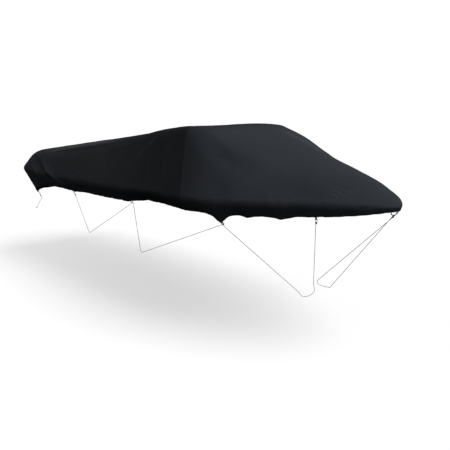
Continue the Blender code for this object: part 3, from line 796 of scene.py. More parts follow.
def cloth_sheet(name, grid, wear_and_highlight, finish):
    """A thin closed sheet on the grid, with its crests' wear and painted highlight as an attribute.
    """
    quads = np.stack(face_corners(grid), axis=2)
    mesh = bpy.data.meshes.new(name)
    mesh.from_pydata(grid.reshape(-1, 3).tolist(), [], quads.reshape(-1, 4).tolist())
    worn = mesh.attributes.new("crest_wear_and_highlight", "FLOAT", "POINT")
    worn.data.foreach_set("value", wear_and_highlight.reshape(-1).astype(np.float32))
    shell = bmesh.new()
    shell.from_mesh(mesh)
    bmesh.ops.remove_doubles(shell, verts=shell.verts, dist=1e-6)
    bmesh.ops.dissolve_degenerate(shell, edges=shell.edges, dist=1e-6)
    bmesh.ops.recalc_face_normals(shell, faces=shell.faces)
    highest = max(shell.faces, key=lambda face: face.calc_center_median().z)
    if highest.normal.z < 0:
        bmesh.ops.reverse_faces(shell, faces=shell.faces)
    shell.to_mesh(mesh)
    shell.free()
    mesh.shade_smooth()
    mesh.materials.append(finish)
    sheet = put_in_scene(name, mesh)
    wall = sheet.modifiers.new("cloth", "SOLIDIFY")
    wall.thickness = CLOTH
    wall.offset = 1.0
    return sheet


def wave(tree, along, rate):
    """A sine wave along a coordinate, of so many radians a metre."""
    return reckon(tree, "SINE", reckon(tree, "MULTIPLY", along, rate))


def weave_group():
    """Height of a plain weave, laid over whichever way the cloth faces."""
    group = bpy.data.node_groups.new("plain weave", "ShaderNodeTree")
    group.interface.new_socket("Pitch", in_out="INPUT", socket_type="NodeSocketFloat")
    group.interface.new_socket("Height", in_out="OUTPUT", socket_type="NodeSocketFloat")
    entry = add_node(group, "NodeGroupInput")
    place = add_node(group, "ShaderNodeTexCoord")
    where = add_node(group, "ShaderNodeSeparateXYZ", {0: place.outputs["Object"]})
    facing = add_node(group, "ShaderNodeSeparateXYZ", {0: place.outputs["Normal"]})
    rate = reckon(group, "DIVIDE", 2 * pi, entry.outputs["Pitch"])
    waves = [wave(group, where.outputs[axis], rate) for axis in range(3)]
    total = 0.0
    for first, second, faced in ((0, 1, 2), (0, 2, 1), (1, 2, 0)):
        threads = reckon(group, "MULTIPLY", waves[first], waves[second])
        share = reckon(group, "MULTIPLY", facing.outputs[faced], facing.outputs[faced])
        total = reckon(group, "MULTIPLY_ADD", threads, share, total)
    raised = reckon(group, "MULTIPLY_ADD", total, 0.5, 0.5)
    add_node(group, "NodeGroupOutput", {"Height": raised})
    return group


def coated_cloth(name, deep, pale, painted_shade_and_light_from, painted_shade_and_light_share):
    """Matt black polyester: weave, faint creases, faded clouds, painted shade and light along the
    seam, and crests paler for wear and a painted highlight.

    The two places after the colours are distances ahead of the seam line, and the two
    numbers after them are the share of pale colour added at each: painted shade where it is below
    zero, painted light where above.
    """
    finish, tree, shader = plain_finish(name)
    weave = add_node(tree, "ShaderNodeGroup", {"Pitch": WEAVE_PITCH}, node_tree=plain_weave)
    place = add_node(tree, "ShaderNodeTexCoord").outputs["Object"]
    clouds = add_node(tree, "ShaderNodeTexNoise", {
        "Vector": place, "Scale": 2.2, "Detail": 5.0, "Roughness": 0.55})
    crumple = add_node(tree, "ShaderNodeTexNoise", {
        "Vector": place, "Scale": 26.0, "Detail": 3.0, "Distortion": 0.6})
    crest_wear_and_highlight = add_node(tree, "ShaderNodeAttribute", attribute_name="crest_wear_and_highlight").outputs["Fac"]
    # Faded clouds, crests with wear and a painted highlight, and the tops of the threads lift the
    # colour.
    share = reckon(tree, "MULTIPLY", clouds.outputs["Fac"], CLOUD_FADE)
    share = reckon(tree, "MULTIPLY_ADD", crest_wear_and_highlight, CREST_LIFT_WORN_AND_LIT, share)
    share = reckon(tree, "MULTIPLY_ADD", weave.outputs["Height"], WEAVE_FADE, share)
    parts = add_node(tree, "ShaderNodeSeparateXYZ", {0: place}).outputs
    # Painted shade and light, ramped by distance ahead of the seam.
    ahead = reckon(tree, "MULTIPLY_ADD", parts["Z"], SEAM_RAKE, parts["X"])
    painted_shade_and_light = add_node(tree, "ShaderNodeMapRange", {
        "Value": ahead, "From Min": painted_shade_and_light_from[0], "From Max": painted_shade_and_light_from[1],
        "To Min": painted_shade_and_light_share[0], "To Max": painted_shade_and_light_share[1]}, interpolation_type="SMOOTHSTEP")
    share = reckon(tree, "ADD", share, painted_shade_and_light.outputs["Result"])
    # Crests turn chalky: partly wear, partly a painted highlight.
    crest = reckon(tree, "MULTIPLY", crest_wear_and_highlight, crest_wear_and_highlight)
    crest = reckon(tree, "MULTIPLY", crest, CREST_WEAR_AND_HIGHLIGHT)
    faded = blend_colours(tree, share, deep, pale)
    set_inputs(tree, shader, {
        "Base Color": blend_colours(tree, crest, faded, CHALKY_WEAR_AND_HIGHLIGHT),
        "Roughness": reckon(tree, "MULTIPLY_ADD", clouds.outputs["Fac"], CLOUD_ROUGHENS, ROUGHNESS),
        "Specular IOR Level": 0.06})
    relief = reckon(tree, "MULTIPLY", crumple.outputs["Fac"], CRUMPLE_SHARE)
    relief = reckon(tree, "MULTIPLY_ADD", weave.outputs["Height"], WEAVE_SHARE, relief)
    raise_surface(tree, shader, relief, CLOTH_DEPTH, CLOTH_RELIEF)
    return finish


plain_weave = weave_group()
# The front panel's cloth, painted paler than the rear's as painted light.
front_painted_light_finish = coated_cloth("black_cloth_painted_paler", FRONT_PAINTED_LIGHT_DEEP, FRONT_PAINTED_LIGHT_PALE, FRONT_PAINTED_SHADE_FROM,
                            FRONT_PAINTED_SHADE)
front_fit, front_up, front_sides = fitted_shape(front_section, FRONT_COLUMNS,
                                                FRONT_SPREAD, ROWS)
front_from_seam = distance_from_seam(front_fit)
front_grid, front_wear_and_highlight = worn_in(front_fit, front_up, front_sides, front_from_seam,
                                FRONT_CREASES)


# -------------------------------------------------------------- rear panel
# The same cloth, from the windscreen's top rail back over the cockpit and down
# over the transom. It lies under the front panel's edge along the seam, and its
# hem is turned in below the rub rail.
STERN_CROWN = -3.12         # where the crown line ends, over the aft deck
STERN_EDGE = -3.55
STERN_RAIL = -3.70
STERN_HEM = -3.47
STERN_EDGE_HALF = 0.88      # half widths across the stern
STERN_RAIL_HALF = 0.99
STERN_HEM_HALF = 0.90
EDGE_CORNER = 0.24          # length that a corner takes, at the upper edge
RAIL_CORNER = 0.17          # and at the rub rail
CORNER_FULLNESS = 2.2
SIDE_COLUMNS = 16           # cross-sections of the fitted shape along the side,
CORNER_COLUMNS = 6          # round the corner
STERN_COLUMNS = 5           # and across the stern to the centreline
REAR_COLUMNS = SIDE_COLUMNS + CORNER_COLUMNS + STERN_COLUMNS
REAR_SPREAD = 220           # columns of the cloth on each side
# Colours of the rear panel, painted darker than the front panel's: painted shade on the same cloth.
REAR_PAINTED_SHADE_DEEP = (0.0048, 0.0056, 0.0072, 1.0)
REAR_PAINTED_SHADE_PALE = (0.0184, 0.0206, 0.0256, 1.0)
# Painted shade near the seam, giving way to painted light towards the stern.
REAR_PAINTED_SHADE_AND_LIGHT_FROM = (-0.6, -1.7)            # distances ahead of the seam
REAR_PAINTED_SHADE_AND_LIGHT = (-0.14, 0.27)                # share of the pale colour added at each

# Creases of the rear panel: half width, height, points along it.
REAR_CREASES = (
    (0.014, -0.0035, (0.070, -0.855, -0.300), (0.094, -0.871, -0.338), (0.132, -0.902, -0.403),
     (0.182, -0.937, -0.476), (0.240, -0.975, -0.560)),
    (0.018, 0.0090, (-3.010, -0.938, -0.640), (-2.805, -0.975, -0.739), (-2.591, -0.982, -0.799),
     (-2.360, -0.954, -0.860)),
    (0.015, 0.0040, (-3.295, -0.963, -0.713), (-3.135, -0.982, -0.790), (-3.074, -0.943, -0.882)),
    (0.015, 0.0040, (-3.408, -0.972, -0.738), (-3.334, -0.967, -0.841), (-3.314, -0.924, -0.955)),
    (0.014, 0.0035, (-3.520, -0.900, -0.700), (-3.480, -0.930, -0.800), (-3.430, -0.910, -0.930)),
    (0.020, -0.0035, (-3.370, -0.925, -0.640), (-3.300, -0.965, -0.740), (-3.220, -0.975, -0.830)),
    (0.042, 0.0060, (-3.161, -0.883, -0.535), (-2.952, -0.863, -0.490), (-2.671, -0.854, -0.445),
     (-2.151, -0.832, -0.362), (-1.684, -0.806, -0.287), (-1.161, -0.775, -0.205)),
    (0.024, -0.0055, (-2.790, -0.900, -0.520), (-2.597, -0.892, -0.487), (-2.088, -0.867, -0.395),
     (-1.622, -0.842, -0.319), (-1.197, -0.814, -0.249), (-0.800, -0.790, -0.184)),
    (0.020, 0.0014, (-2.180, -0.945, -0.600), (-1.980, -0.960, -0.660), (-1.780, -0.985, -0.740)),
    (0.022, 0.0014, (-1.700, -0.880, -0.400), (-1.450, -0.900, -0.480), (-1.250, -0.950, -0.600),
     (-1.120, -0.985, -0.700)),
    (0.020, 0.0012, (-1.250, -0.840, -0.270), (-1.060, -0.870, -0.380), (-0.930, -0.930, -0.520)),
    (0.018, 0.0034, (-0.440, -0.750, -0.089), (-0.528, -0.794, -0.169), (-0.641, -0.841, -0.285)),
    (0.018, 0.0022, (-0.596, -0.789, -0.164), (-0.667, -0.837, -0.277), (-0.725, -0.882, -0.389)),
    (0.022, 0.0016, (-0.500, -0.860, -0.320), (-0.470, -0.910, -0.440), (-0.436, -0.966, -0.569)),
    (0.020, 0.0016, (-0.250, -0.850, -0.280), (-0.150, -0.920, -0.430), (-0.060, -0.980, -0.570)),
    (0.012, 0.0022, (-0.230, -0.990, -0.600), (-0.204, -0.992, -0.613), (-0.180, -0.995, -0.625)),
    (0.012, 0.0022, (-0.094, -1.000, -0.612), (-0.075, -1.000, -0.626), (-0.050, -0.998, -0.640)),
    (0.016, 0.0016, (-2.200, -0.985, -0.860), (-2.120, -0.990, -0.760), (-1.990, -0.970, -0.660)),
    (0.016, 0.0016, (-0.860, -0.985, -0.790), (-0.930, -0.990, -0.700), (-1.030, -0.960, -0.590)),
    (0.016, 0.0014, (-0.820, -0.985, -0.790), (-0.740, -0.990, -0.690), (-0.680, -0.970, -0.590)),
    (0.080, -0.0050, (-2.500, -0.300, -0.350), (-2.050, -0.450, -0.290), (-1.500, -0.500, -0.215)),
    (0.070, 0.0040, (-3.050, -0.250, -0.440), (-2.550, -0.150, -0.355), (-1.950, -0.200, -0.265),
     (-1.350, -0.120, -0.175)),
    (0.070, 0.0040, (-2.900, 0.350, -0.420), (-2.300, 0.420, -0.335), (-1.700, 0.380, -0.240)),
    (0.060, 0.0035, (-1.300, 0.150, -0.170), (-0.850, 0.300, -0.115), (-0.400, 0.420, -0.060)),
    (0.020, 0.0040, (-3.100, 0.930, -0.600), (-2.900, 0.960, -0.700), (-2.600, 0.980, -0.800),
     (-2.450, 0.950, -0.880)),
    (0.018, 0.0034, (-3.300, 0.930, -0.640), (-3.180, 0.970, -0.760), (-3.080, 0.950, -0.880)),
    (0.018, 0.0034, (-3.470, 0.880, -0.620), (-3.420, 0.930, -0.760), (-3.380, 0.920, -0.900)),
    (0.020, 0.0028, (-0.600, 0.800, -0.180), (-0.450, 0.880, -0.360), (-0.300, 0.970, -0.570)),
    (0.020, 0.0024, (-0.250, 0.760, -0.090), (-0.060, 0.860, -0.310), (0.080, 0.960, -0.520)),
    (0.022, 0.0024, (-1.900, 0.870, -0.360), (-1.600, 0.910, -0.480), (-1.350, 0.980, -0.650)),
    (0.022, 0.0040, (-3.600, -0.560, -0.640), (-3.640, -0.360, -0.740), (-3.600, -0.150, -0.840)),
    (0.022, 0.0040, (-3.600, 0.600, -0.650), (-3.640, 0.400, -0.740), (-3.610, 0.220, -0.820)),
    (0.022, 0.0034, (-3.620, 0.050, -0.620), (-3.660, 0.100, -0.740), (-3.600, 0.180, -0.860)),
)


def stern_plan(column, x0, x1, half0, half1, corner):
    """Plan curve from the seam along the side, round the corner, to the centre."""
    if column <= SIDE_COLUMNS:
        t = column / SIDE_COLUMNS
        return x0 + (x1 + corner - x0) * t, half0 + (half1 - half0) * sin(pi / 2 * t)
    column -= SIDE_COLUMNS
    if column <= CORNER_COLUMNS:
        angle = column / CORNER_COLUMNS * pi / 2
        power = 2 / CORNER_FULLNESS
        x = x1 + corner - corner * sin(angle) ** power
        return x, half1 - corner + corner * max(cos(angle), 0.0) ** power
    t = (column - CORNER_COLUMNS) / STERN_COLUMNS
    return x1, (half1 - corner) * (1 - t)


def rear_section(side, column, steps=SECTION_STEPS):
    """One cross-section of the rear panel, from its crown line to its hem."""
    crown_x = STERN_CROWN * min(column / SIDE_COLUMNS, 1.0)
    edge = stern_plan(column, 0.0, STERN_EDGE, SCREEN_HALF, STERN_EDGE_HALF, EDGE_CORNER)
    rail = stern_plan(column, POST_RAKE, STERN_RAIL, HALF_BEAM, STERN_RAIL_HALF, RAIL_CORNER)
    hem = stern_plan(column, POST_RAKE, STERN_HEM, HALF_BEAM - HEM_TUCK, STERN_HEM_HALF,
                     RAIL_CORNER)
    return cross_section(side, crown_x, edge, rail, hem, EDGE_ROUND, steps)


def lap_over_seam(front, rear):
    """Carries the front panel's edge back over the rear panel, a cloth higher."""
    out_front, out_rear = cloth_normals(front), cloth_normals(rear)
    lapped = front.copy()
    added = {}
    for end, inner in ((0, 1), (-1, -2)):
        out = unit(out_front[end] + out_rear[end])
        back = unit(rear[inner] - rear[end])
        seam = (front[end] + rear[end]) / 2
        added[end] = [seam + back * d + out * (CLOTH + LAP_LIFT) for d in LAP]
        lapped[end] = seam + out * (CLOTH + LAP_LIFT)
        lapped[inner] = front[inner] + out_front[inner] * LAP_LIFT
    before, after = np.array(added[0]), np.array(added[-1][::-1])
    return np.concatenate((before, lapped, after))


# The same cloth as the front panel's, painted darker as painted shade.
rear_painted_shade_finish = coated_cloth("black_cloth", REAR_PAINTED_SHADE_DEEP, REAR_PAINTED_SHADE_PALE, REAR_PAINTED_SHADE_AND_LIGHT_FROM, REAR_PAINTED_SHADE_AND_LIGHT)
rear_fit, rear_up, rear_sides = fitted_shape(rear_section, REAR_COLUMNS, REAR_SPREAD,
                                             ROWS)
rear_from_seam = distance_from_seam(rear_fit)
rear_grid, rear_wear_and_highlight = worn_in(rear_fit, rear_up, rear_sides, rear_from_seam, REAR_CREASES)
front_grid = lap_over_seam(front_grid, rear_grid)
front_wear_and_highlight = np.pad(front_wear_and_highlight, ((len(LAP), len(LAP)), (0, 0)), mode="edge")
front_grid, front_wear_and_highlight = with_hem(front_grid, front_wear_and_highlight)
rear_grid, rear_wear_and_highlight = with_hem(rear_grid, rear_wear_and_highlight)
front_sheet = cloth_sheet("front_cloth", front_grid, front_wear_and_highlight, front_painted_light_finish)
rear_sheet = cloth_sheet("rear_cloth", rear_grid, rear_wear_and_highlight, rear_painted_shade_finish)


# --------------------------------------------------------------- stitching
# Black polyester thread: two rows through the lapped seam over the screen, and
# one row all round that holds the turned-in hem.
STITCH = 0.0036             # length of a stitch
STITCH_PITCH = 0.0052
THREAD = 0.0009
SEAM_ROWS = (1, 2, -3, -2)               # columns of the lap that are sewn through
HEM_ROWS_BACK = 8           # the hem's row of stitches, in rows of the grid
THREAD_STANDS_OFF = 0.2     # middle of a stitch, off the cloth, in threads
THREAD_COLOUR = (0.020, 0.021, 0.024, 1.0)
THREAD_SHADE = (0.010, 0.010, 0.012, 1.0)


def thread():
    """Black thread, with the light and dark of its twist."""
    finish, tree, shader = plain_finish("black_thread")
    place = add_node(tree, "ShaderNodeTexCoord")
    twist = add_node(tree, "ShaderNodeTexNoise", {
        "Vector": place.outputs["Object"], "Scale": 900.0})
    colour = blend_colours(tree, twist.outputs["Fac"], THREAD_SHADE, THREAD_COLOUR)
    set_inputs(tree, shader, {"Base Color": colour, "Roughness": 0.6})
    return finish


def stitch_tree():
    """Geometry nodes that lay a row of stitches along lines of edges."""
    tree = bpy.data.node_groups.new("row of stitches", "GeometryNodeTree")
    for label, in_out, kind in (
            ("Geometry", "INPUT", "Geometry"), ("Pitch", "INPUT", "Float"),
            ("Stitch length", "INPUT", "Float"), ("Thread", "INPUT", "Float"),
            ("Finish", "INPUT", "Material"), ("Geometry", "OUTPUT", "Geometry")):
        tree.interface.new_socket(label, in_out=in_out, socket_type="NodeSocket" + kind)
    entry = add_node(tree, "NodeGroupInput").outputs
    line = add_node(tree, "GeometryNodeMeshToCurve", {"Mesh": entry["Geometry"]})
    spaced = add_node(tree, "GeometryNodeResampleCurve", {
        "Curve": line.outputs["Curve"], "Length": entry["Pitch"]}, mode="LENGTH")
    bead = add_node(tree, "GeometryNodeMeshUVSphere", {
        "Segments": 5, "Rings": 4, "Radius": 0.5})
    size = add_node(tree, "ShaderNodeCombineXYZ", {
        "X": entry["Thread"], "Y": entry["Thread"], "Z": entry["Stitch length"]})
    drawn = add_node(tree, "GeometryNodeTransform", {
        "Geometry": bead.outputs["Mesh"], "Scale": size.outputs[0]})
    way = add_node(tree, "GeometryNodeInputTangent")
    turn = add_node(tree, "FunctionNodeAlignRotationToVector", {
        "Vector": way.outputs[0]}, axis="Z")
    laid = add_node(tree, "GeometryNodeInstanceOnPoints", {
        "Points": spaced.outputs["Curve"], "Instance": drawn.outputs["Geometry"],
        "Rotation": turn.outputs["Rotation"]})
    real = add_node(tree, "GeometryNodeRealizeInstances", {
        "Geometry": laid.outputs["Instances"]})
    dyed = add_node(tree, "GeometryNodeSetMaterial", {
        "Geometry": real.outputs["Geometry"], "Material": entry["Finish"]})
    add_node(tree, "NodeGroupOutput", {"Geometry": dyed.outputs["Geometry"]})
    return tree


def stitch_rows(name, lines, pitch=STITCH_PITCH, stitch=STITCH):
    """Rows of stitches along the lines, as one plain mesh."""
    mesh = bpy.data.meshes.new(name)
    points, edges = [], []
    for row in lines:
        first = len(points)
        points += [tuple(p) for p in row]
        edges += [(first + i, first + i + 1) for i in range(len(row) - 1)]
    mesh.from_pydata(points, edges, [])
    guide = put_in_scene(name + "_guide", mesh)
    sewn = guide.modifiers.new("stitches", "NODES")
    sewn.node_group = stitching
    values = {"Pitch": pitch, "Stitch length": stitch, "Thread": THREAD,
              "Finish": thread_finish}
    for item in stitching.interface.items_tree:
        if item.in_out == "INPUT" and item.name in values:
            sewn[item.identifier] = values[item.name]
    depsgraph = bpy.context.evaluated_depsgraph_get()
    made = bpy.data.meshes.new_from_object(guide.evaluated_get(depsgraph))
    bpy.data.objects.remove(guide)
    piece = put_in_scene(name, made)
    made.shade_smooth()
    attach(piece, "root")
    return piece


def on_cloth(grid, section=None, row=None):
    """Points on the outer face, along a column or a row of a sheet's grid."""
    face = grid + cloth_normals(grid) * (CLOTH + THREAD * THREAD_STANDS_OFF)
    return face[section] if row is None else face[:, row]


thread_finish = thread()
stitching = stitch_tree()
hem_rows = len(HEM_TURN + HEM_BACK)
seam_rows = [on_cloth(front_grid, section=s)[:-hem_rows] for s in SEAM_ROWS]
seam_stitches = stitch_rows("seam_stitches", seam_rows)
front_hem_stitches = stitch_rows("front_hem_stitches",
                                 [on_cloth(front_grid, row=-HEM_ROWS_BACK)])
rear_hem_stitches = stitch_rows("rear_hem_stitches",
                                [on_cloth(rear_grid, row=-HEM_ROWS_BACK)])

# Each panel goes under the root body, and the model's own panel is hidden.
for sheet, node, flat, area, sewing in (
        (front_sheet, "front_panel", (3.15, 2.75), 4.50,
         [seam_stitches, front_hem_stitches]),
        (rear_sheet, "rear_panel", (3.45, 4.75), 12.10, [rear_hem_stitches])):
    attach(sheet, "root")
    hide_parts(node)


# --------------------------------------------------------------- hem loops
# Short lengths of ribbed black tape, folded into a loop and sewn inside the
# hem with a bar of stitches. The eye that hangs below is for a tie.
TAPE_WIDTH = 0.012
TAPE = 0.0016
TAPE_TAIL = 0.026           # sewn length above the edge of the hem
EYE_RADIUS = 0.010
EYE_DROP = 0.006            # the eye's centre line starts this far below the hem
EYE_RUN = 0.007             # straight part of the eye between its round ends
TAPE_EDGE = 0.0004          # rounding of the tape's edges
TAPE_BEND = 50              # degrees; a sharper edge of the tape isn't smoothed
TAIL_STEP = 0.004           # spacing of points along the tail
TAIL_POINTS = 11
EYE_STEPS = 24              # along the half round at the foot of the eye
EYE_TOP_STEPS = 20
EYE_CLOSES = 148            # degrees that the top of the eye turns back to the tail
# The tape's end, drawn in against its tail: above the eye, and off the cloth in
# thicknesses of the tape.
TAPE_END = ((0.0015, 1.65), (0.006, 1.52), (0.013, 1.50))
RIB_PITCH = 0.0011
WARP_PITCH = 0.0012
WARP_SHARE = 0.3            # the lines along the tape, beside its ribs
RIB_DEPTH = 0.0003
TAPE_SHADE = (0.008, 0.008, 0.010, 1.0)
TAPE_COLOUR = (0.032, 0.033, 0.037, 1.0)
BAR_ACROSS = (-0.0035, 0.0, 0.0035)      # the bar's rows of stitches
BAR_START = -0.022          # from there down, on the face of the tail
BAR_STEP = 0.003
BAR_POINTS = 6
BAR_STANDS_OFF = 0.0002
BAR_PITCH = 0.0028
BAR_STITCH = 0.0022
MIDSHIP = Vector((-0.6, 0.0, -0.8))      # a point inside the cover
SEAM_GAP = 0.0003           # the front panel is fitted this far ahead of the seam

# name, panel, column of the fitted shape (a part column lies between two),
# side, gap to the cloth behind the flat tape
HEM_LOOPS = (
    ("stern_near", "rear", 18.8, -1, 0.0014),
    ("aft_near", "rear", 11.46, -1, 0.0028),
    ("mid_near", "rear", 4.95, -1, 0.0007),
    ("fore_near", "front", 5, -1, 0.0016),
    ("quarter_near", "front", 12.16, -1, 0.0007),
    ("bow", "front", 19.3, 1, 0.0007),
    ("quarter_far", "front", 12.16, 1, 0.0007),
    ("fore_far", "front", 5, 1, 0.0012),
    ("mid_far", "rear", 4.95, 1, 0.0009),
    ("aft_far", "rear", 11.46, 1, 0.0016),
    ("stern_far", "rear", 18.8, 1, 0.0009),
)
BASE_STEPS = (5, 4, 7, 3, 3)             # points of the fitted shape's sections


def ribbed_tape():
    """Black woven tape with ribs across it and fainter lines along it."""
    finish, tree, shader = plain_finish("ribbed_black_tape")
    u, v = uv_parts(tree, "along_tape")
    ribs = wave(tree, v, 2 * pi / RIB_PITCH)
    warp = wave(tree, u, 2 * pi / WARP_PITCH)
    woven = reckon(tree, "MULTIPLY_ADD", warp, WARP_SHARE, ribs)
    raised = reckon(tree, "MULTIPLY_ADD", woven, 0.38, 0.5)
    lint = add_node(tree, "ShaderNodeTexNoise", {"Scale": 60.0, "Detail": 4.0})
    share = reckon(tree, "MULTIPLY", lint.outputs["Fac"], raised)
    set_inputs(tree, shader, {
        "Base Color": blend_colours(tree, share, TAPE_SHADE, TAPE_COLOUR),
        "Roughness": 0.7, "Specular IOR Level": 0.35})
    raise_surface(tree, shader, raised, RIB_DEPTH, 0.8)
    return finish


def base_frame(section, place, side, gap, ahead_of_seam):
    """Place inside the hem: X down the tuck, Y into the boat and Z along the hem."""
    def sections(column):
        points = section(side, column, BASE_STEPS) + (ahead_of_seam, 0.0, 0.0)
        return Vector(points[-1]), Vector(points[-2])
    column = int(place)
    share = place - column
    if side > 0:
        column, share = column + 1, 1 - share
    ahead = column + 1 if side < 0 else column - 1
    (hem0, above0), (hem1, above1) = sections(column), sections(ahead)
    hem, above = hem0.lerp(hem1, share), above0.lerp(above1, share)
    along = (hem1 - hem0).normalized()
    inward = (hem - above).cross(along).normalized()
    if inward.dot(MIDSHIP - hem) < 0:
        inward.negate()
        along.negate()
    down = along.cross(inward)
    axes = Matrix((down, inward, -along)).transposed().to_4x4()
    return Matrix.Translation(hem + inward * gap) @ axes


def tape_line():
    """Middle line of the folded tape: down past the hem, round and up again."""
    top = EYE_DROP + EYE_RADIUS
    low = top + EYE_RUN
    middle = TAPE + EYE_RADIUS
    reach = EYE_RADIUS + TAPE / 2
    points = [(-TAPE_TAIL + TAIL_STEP * i, TAPE / 2) for i in range(TAIL_POINTS)]
    points += [(top + EYE_RUN * 0.5, TAPE / 2)]
    for i in range(EYE_STEPS + 1):
        angle = radians(-90 + 180 * i / EYE_STEPS)
        points.append((low + reach * cos(angle), middle + reach * sin(angle)))
    points.append((top + EYE_RUN * 0.5, middle + reach))
    for i in range(EYE_TOP_STEPS + 1):
        angle = radians(90 + EYE_CLOSES * i / EYE_TOP_STEPS)
        points.append((top + reach * cos(angle), middle + reach * sin(angle)))
    points += [(EYE_DROP - above, TAPE * off) for above, off in TAPE_END]
    return np.array(points)


def tape_strip(name, place):
    """A flat tape with rounded edges, bent along its line in its own plane."""
    line = tape_line()
    ways = unit(np.gradient(line, axis=0))
    across = np.stack((-ways[:, 1], ways[:, 0]), axis=1)
    half, thick = TAPE_WIDTH / 2, TAPE / 2
    edge = TAPE_EDGE
    outline = ((-half + edge, -thick), (half - edge, -thick), (half, -thick + edge),
               (half, thick - edge), (half - edge, thick), (-half + edge, thick),
               (-half, thick - edge), (-half, -thick + edge))
    rings = []
    for point, side in zip(line, across):
        bent = [(*(point + side * off), z) for z, off in outline]
        rings.append([place @ Vector(corner) for corner in bent])
    widths = [z for z, off in outline]
    strip = swept_piece(name, rings, widths + widths[:1], distance_along(line),
                        "along_tape", tape_finish)
    strip.data.shade_smooth()
    strip.data.set_sharp_from_angle(angle=radians(TAPE_BEND))
    return strip


def bar_of_stitches(place):
    """Three short rows that sew the tape's tail inside the hem."""
    return [[place @ Vector((BAR_START + BAR_STEP * i, TAPE + BAR_STANDS_OFF, across))
             for i in range(BAR_POINTS)] for across in BAR_ACROSS]


tape_finish = ribbed_tape()
PANELS = {"front": (front_section, SEAM_GAP), "rear": (rear_section, 0.0)}
for name, panel, column, side, gap in HEM_LOOPS:
    section, ahead_of_seam = PANELS[panel]
    place = base_frame(section, column, side, gap, ahead_of_seam)
    loop = tape_strip("tape_loop_" + name, place)
    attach(loop, "root")
    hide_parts("hem_loop_" + name)
    stitch_rows("tape_stitches_" + name, bar_of_stitches(place),
                pitch=BAR_PITCH, stitch=BAR_STITCH)


# -------------------------------------------------------------- slack loop
# A loose loop of rolled cloth that hangs under the stem, its ends sewn
# inside the hem on either side of it.
SLACK_LOOP = 0.009          # thickness of the roll
SLACK_LOOP_STEP = 0.002     # spacing of points along it
SLACK_LOOP_SIDES = 18
ROLL_PITCH = 0.034          # one turn of the roll's edge, along it
ROLL_DEPTH = 0.0012
ROLL_WEAVE = 0.15           # the weave's share in the relief, beside the roll's edge
ROLL_SHADE = (0.009, 0.009, 0.011, 1.0)
ROLL_COLOUR = (0.020, 0.021, 0.025, 1.0)
SLACK_LOOP_ROUTE = (
    (2.1815, -0.058, -0.601), (2.176, -0.0535, -0.6175), (2.169, -0.051, -0.634),
    (2.166, -0.043, -0.648), (2.168, -0.029, -0.656), (2.173, -0.015, -0.659),
    (2.179, -0.001, -0.655), (2.1815, 0.011, -0.645), (2.186, 0.0165, -0.632),
    (2.1928, 0.0165, -0.617), (2.201, 0.018, -0.600),
)


def rolled_cloth():
    """The cover's cloth rolled to a cord, with the roll's edge spiralling."""
    finish, tree, shader = plain_finish("rolled_black_cloth")
    u, v = uv_parts(tree, "along_cord")
    around = reckon(tree, "MULTIPLY", u, 2 * pi)
    spiral = reckon(tree, "MULTIPLY_ADD", v, 2 * pi / ROLL_PITCH, around)
    wrap = reckon(tree, "MULTIPLY_ADD", reckon(tree, "SINE", spiral), 0.5, 0.5)
    weave = add_node(tree, "ShaderNodeGroup", {"Pitch": WEAVE_PITCH}, node_tree=plain_weave)
    raised = reckon(tree, "MULTIPLY_ADD", weave.outputs["Height"], ROLL_WEAVE, wrap)
    set_inputs(tree, shader, {
        "Base Color": blend_colours(tree, wrap, ROLL_SHADE, ROLL_COLOUR),
        "Roughness": 0.72, "Specular IOR Level": 0.3})
    raise_surface(tree, shader, raised, ROLL_DEPTH, 0.8)
    return finish


slack_loop = round_tube("slack_loop_cloth", smooth_route(SLACK_LOOP_ROUTE, SLACK_LOOP_STEP),
                        SLACK_LOOP, SLACK_LOOP_SIDES, rolled_cloth())
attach(slack_loop, "root")
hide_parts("slack_loop")


# ---------------------------------------------------------- floor and light
# A plain white studio: a pale floor, a broad soft light off the bow, a weaker one
# off the near stern, and an even surround that looks brighter than it lights.
FLOOR = -2.058              # the ground, well below the lowest tie
FLOOR_HALF = 40.0
FLOOR_LIT = (0.40, 0.40, 0.40, 1.0)      # as the camera sees it, with the glow
FLOOR_GLOW = 0.58
FLOOR_THROWS = (0.03, 0.03, 0.03, 1.0)   # as it lights the cloth
WHITE = (1.0, 1.0, 1.0, 1.0)
SKY_LIGHT = 0.33
SKY_SEEN = 0.72             # added to that where the camera sees the surround
BOW_LIGHT_WAY = (0.60, 0.24, 0.76)       # from the cover towards the light
BOW_LIGHT_POWER = 3.3
BOW_LIGHT_SPREAD = 45       # degrees
STERN_LIGHT_PLACE = (-4.2, -3.6, 0.9)
STERN_LIGHT_AIM = (-2.9, -0.95, -0.7)
STERN_LIGHT_SIZE = 1.5
STERN_LIGHT_POWER = 34


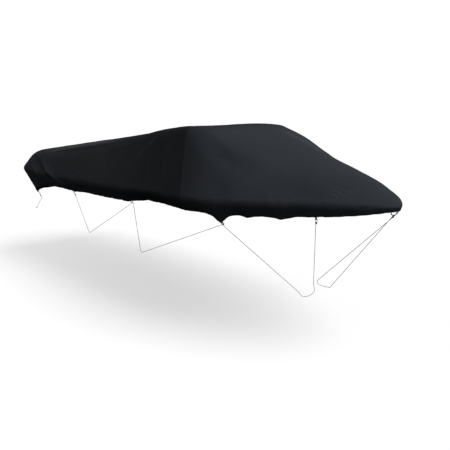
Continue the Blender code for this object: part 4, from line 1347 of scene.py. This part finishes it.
def studio_floor():
    """A matt floor that looks white and throws little light up at the cloth."""
    finish = bpy.data.materials.new("studio_floor")
    finish.use_nodes = True
    tree = finish.node_tree
    tree.nodes.clear()
    lit = add_node(tree, "ShaderNodeBsdfDiffuse", {"Color": FLOOR_LIT})
    glow = add_node(tree, "ShaderNodeEmission", {"Strength": FLOOR_GLOW})
    seen = add_node(tree, "ShaderNodeAddShader", {0: lit.outputs[0], 1: glow.outputs[0]})
    thrown = add_node(tree, "ShaderNodeBsdfDiffuse", {"Color": FLOOR_THROWS})
    ray = add_node(tree, "ShaderNodeLightPath")
    mix = add_node(tree, "ShaderNodeMixShader", {
        0: ray.outputs["Is Camera Ray"], 1: thrown.outputs[0], 2: seen.outputs[0]})
    add_node(tree, "ShaderNodeOutputMaterial", {"Surface": mix.outputs[0]})
    return finish


ground = bpy.data.meshes.new("floor")
corners = [(x * FLOOR_HALF, y * FLOOR_HALF, FLOOR) for x, y in
           ((-1, -1), (1, -1), (1, 1), (-1, 1))]
ground.from_pydata(corners, [], [(0, 1, 2, 3)])
ground.materials.append(studio_floor())
floor = put_in_scene("floor", ground)

surround = bpy.data.worlds.new("studio")
surround.use_nodes = True
sky = surround.node_tree
ray = add_node(sky, "ShaderNodeLightPath")
strength = reckon(sky, "MULTIPLY_ADD", ray.outputs["Is Camera Ray"], SKY_SEEN, SKY_LIGHT)
set_inputs(sky, sky.nodes["Background"], {"Color": WHITE, "Strength": strength})
scene.world = surround

bow_light = put_in_scene("bow_light", bpy.data.lights.new("bow_light", "SUN"))
bow_light.data.energy = BOW_LIGHT_POWER
bow_light.data.angle = radians(BOW_LIGHT_SPREAD)
bow_light.rotation_euler = Vector(BOW_LIGHT_WAY).to_track_quat("Z", "Y").to_euler()

stern_light = put_in_scene("stern_light", bpy.data.lights.new("stern_light", "AREA"))
stern_light.data.size = STERN_LIGHT_SIZE
stern_light.data.energy = STERN_LIGHT_POWER
stern_light.location = STERN_LIGHT_PLACE
aim = Vector(STERN_LIGHT_AIM) - stern_light.location
stern_light.rotation_euler = aim.to_track_quat("-Z", "Y").to_euler()
scene.view_settings.view_transform = "Standard"
scene.view_settings.look = "None"
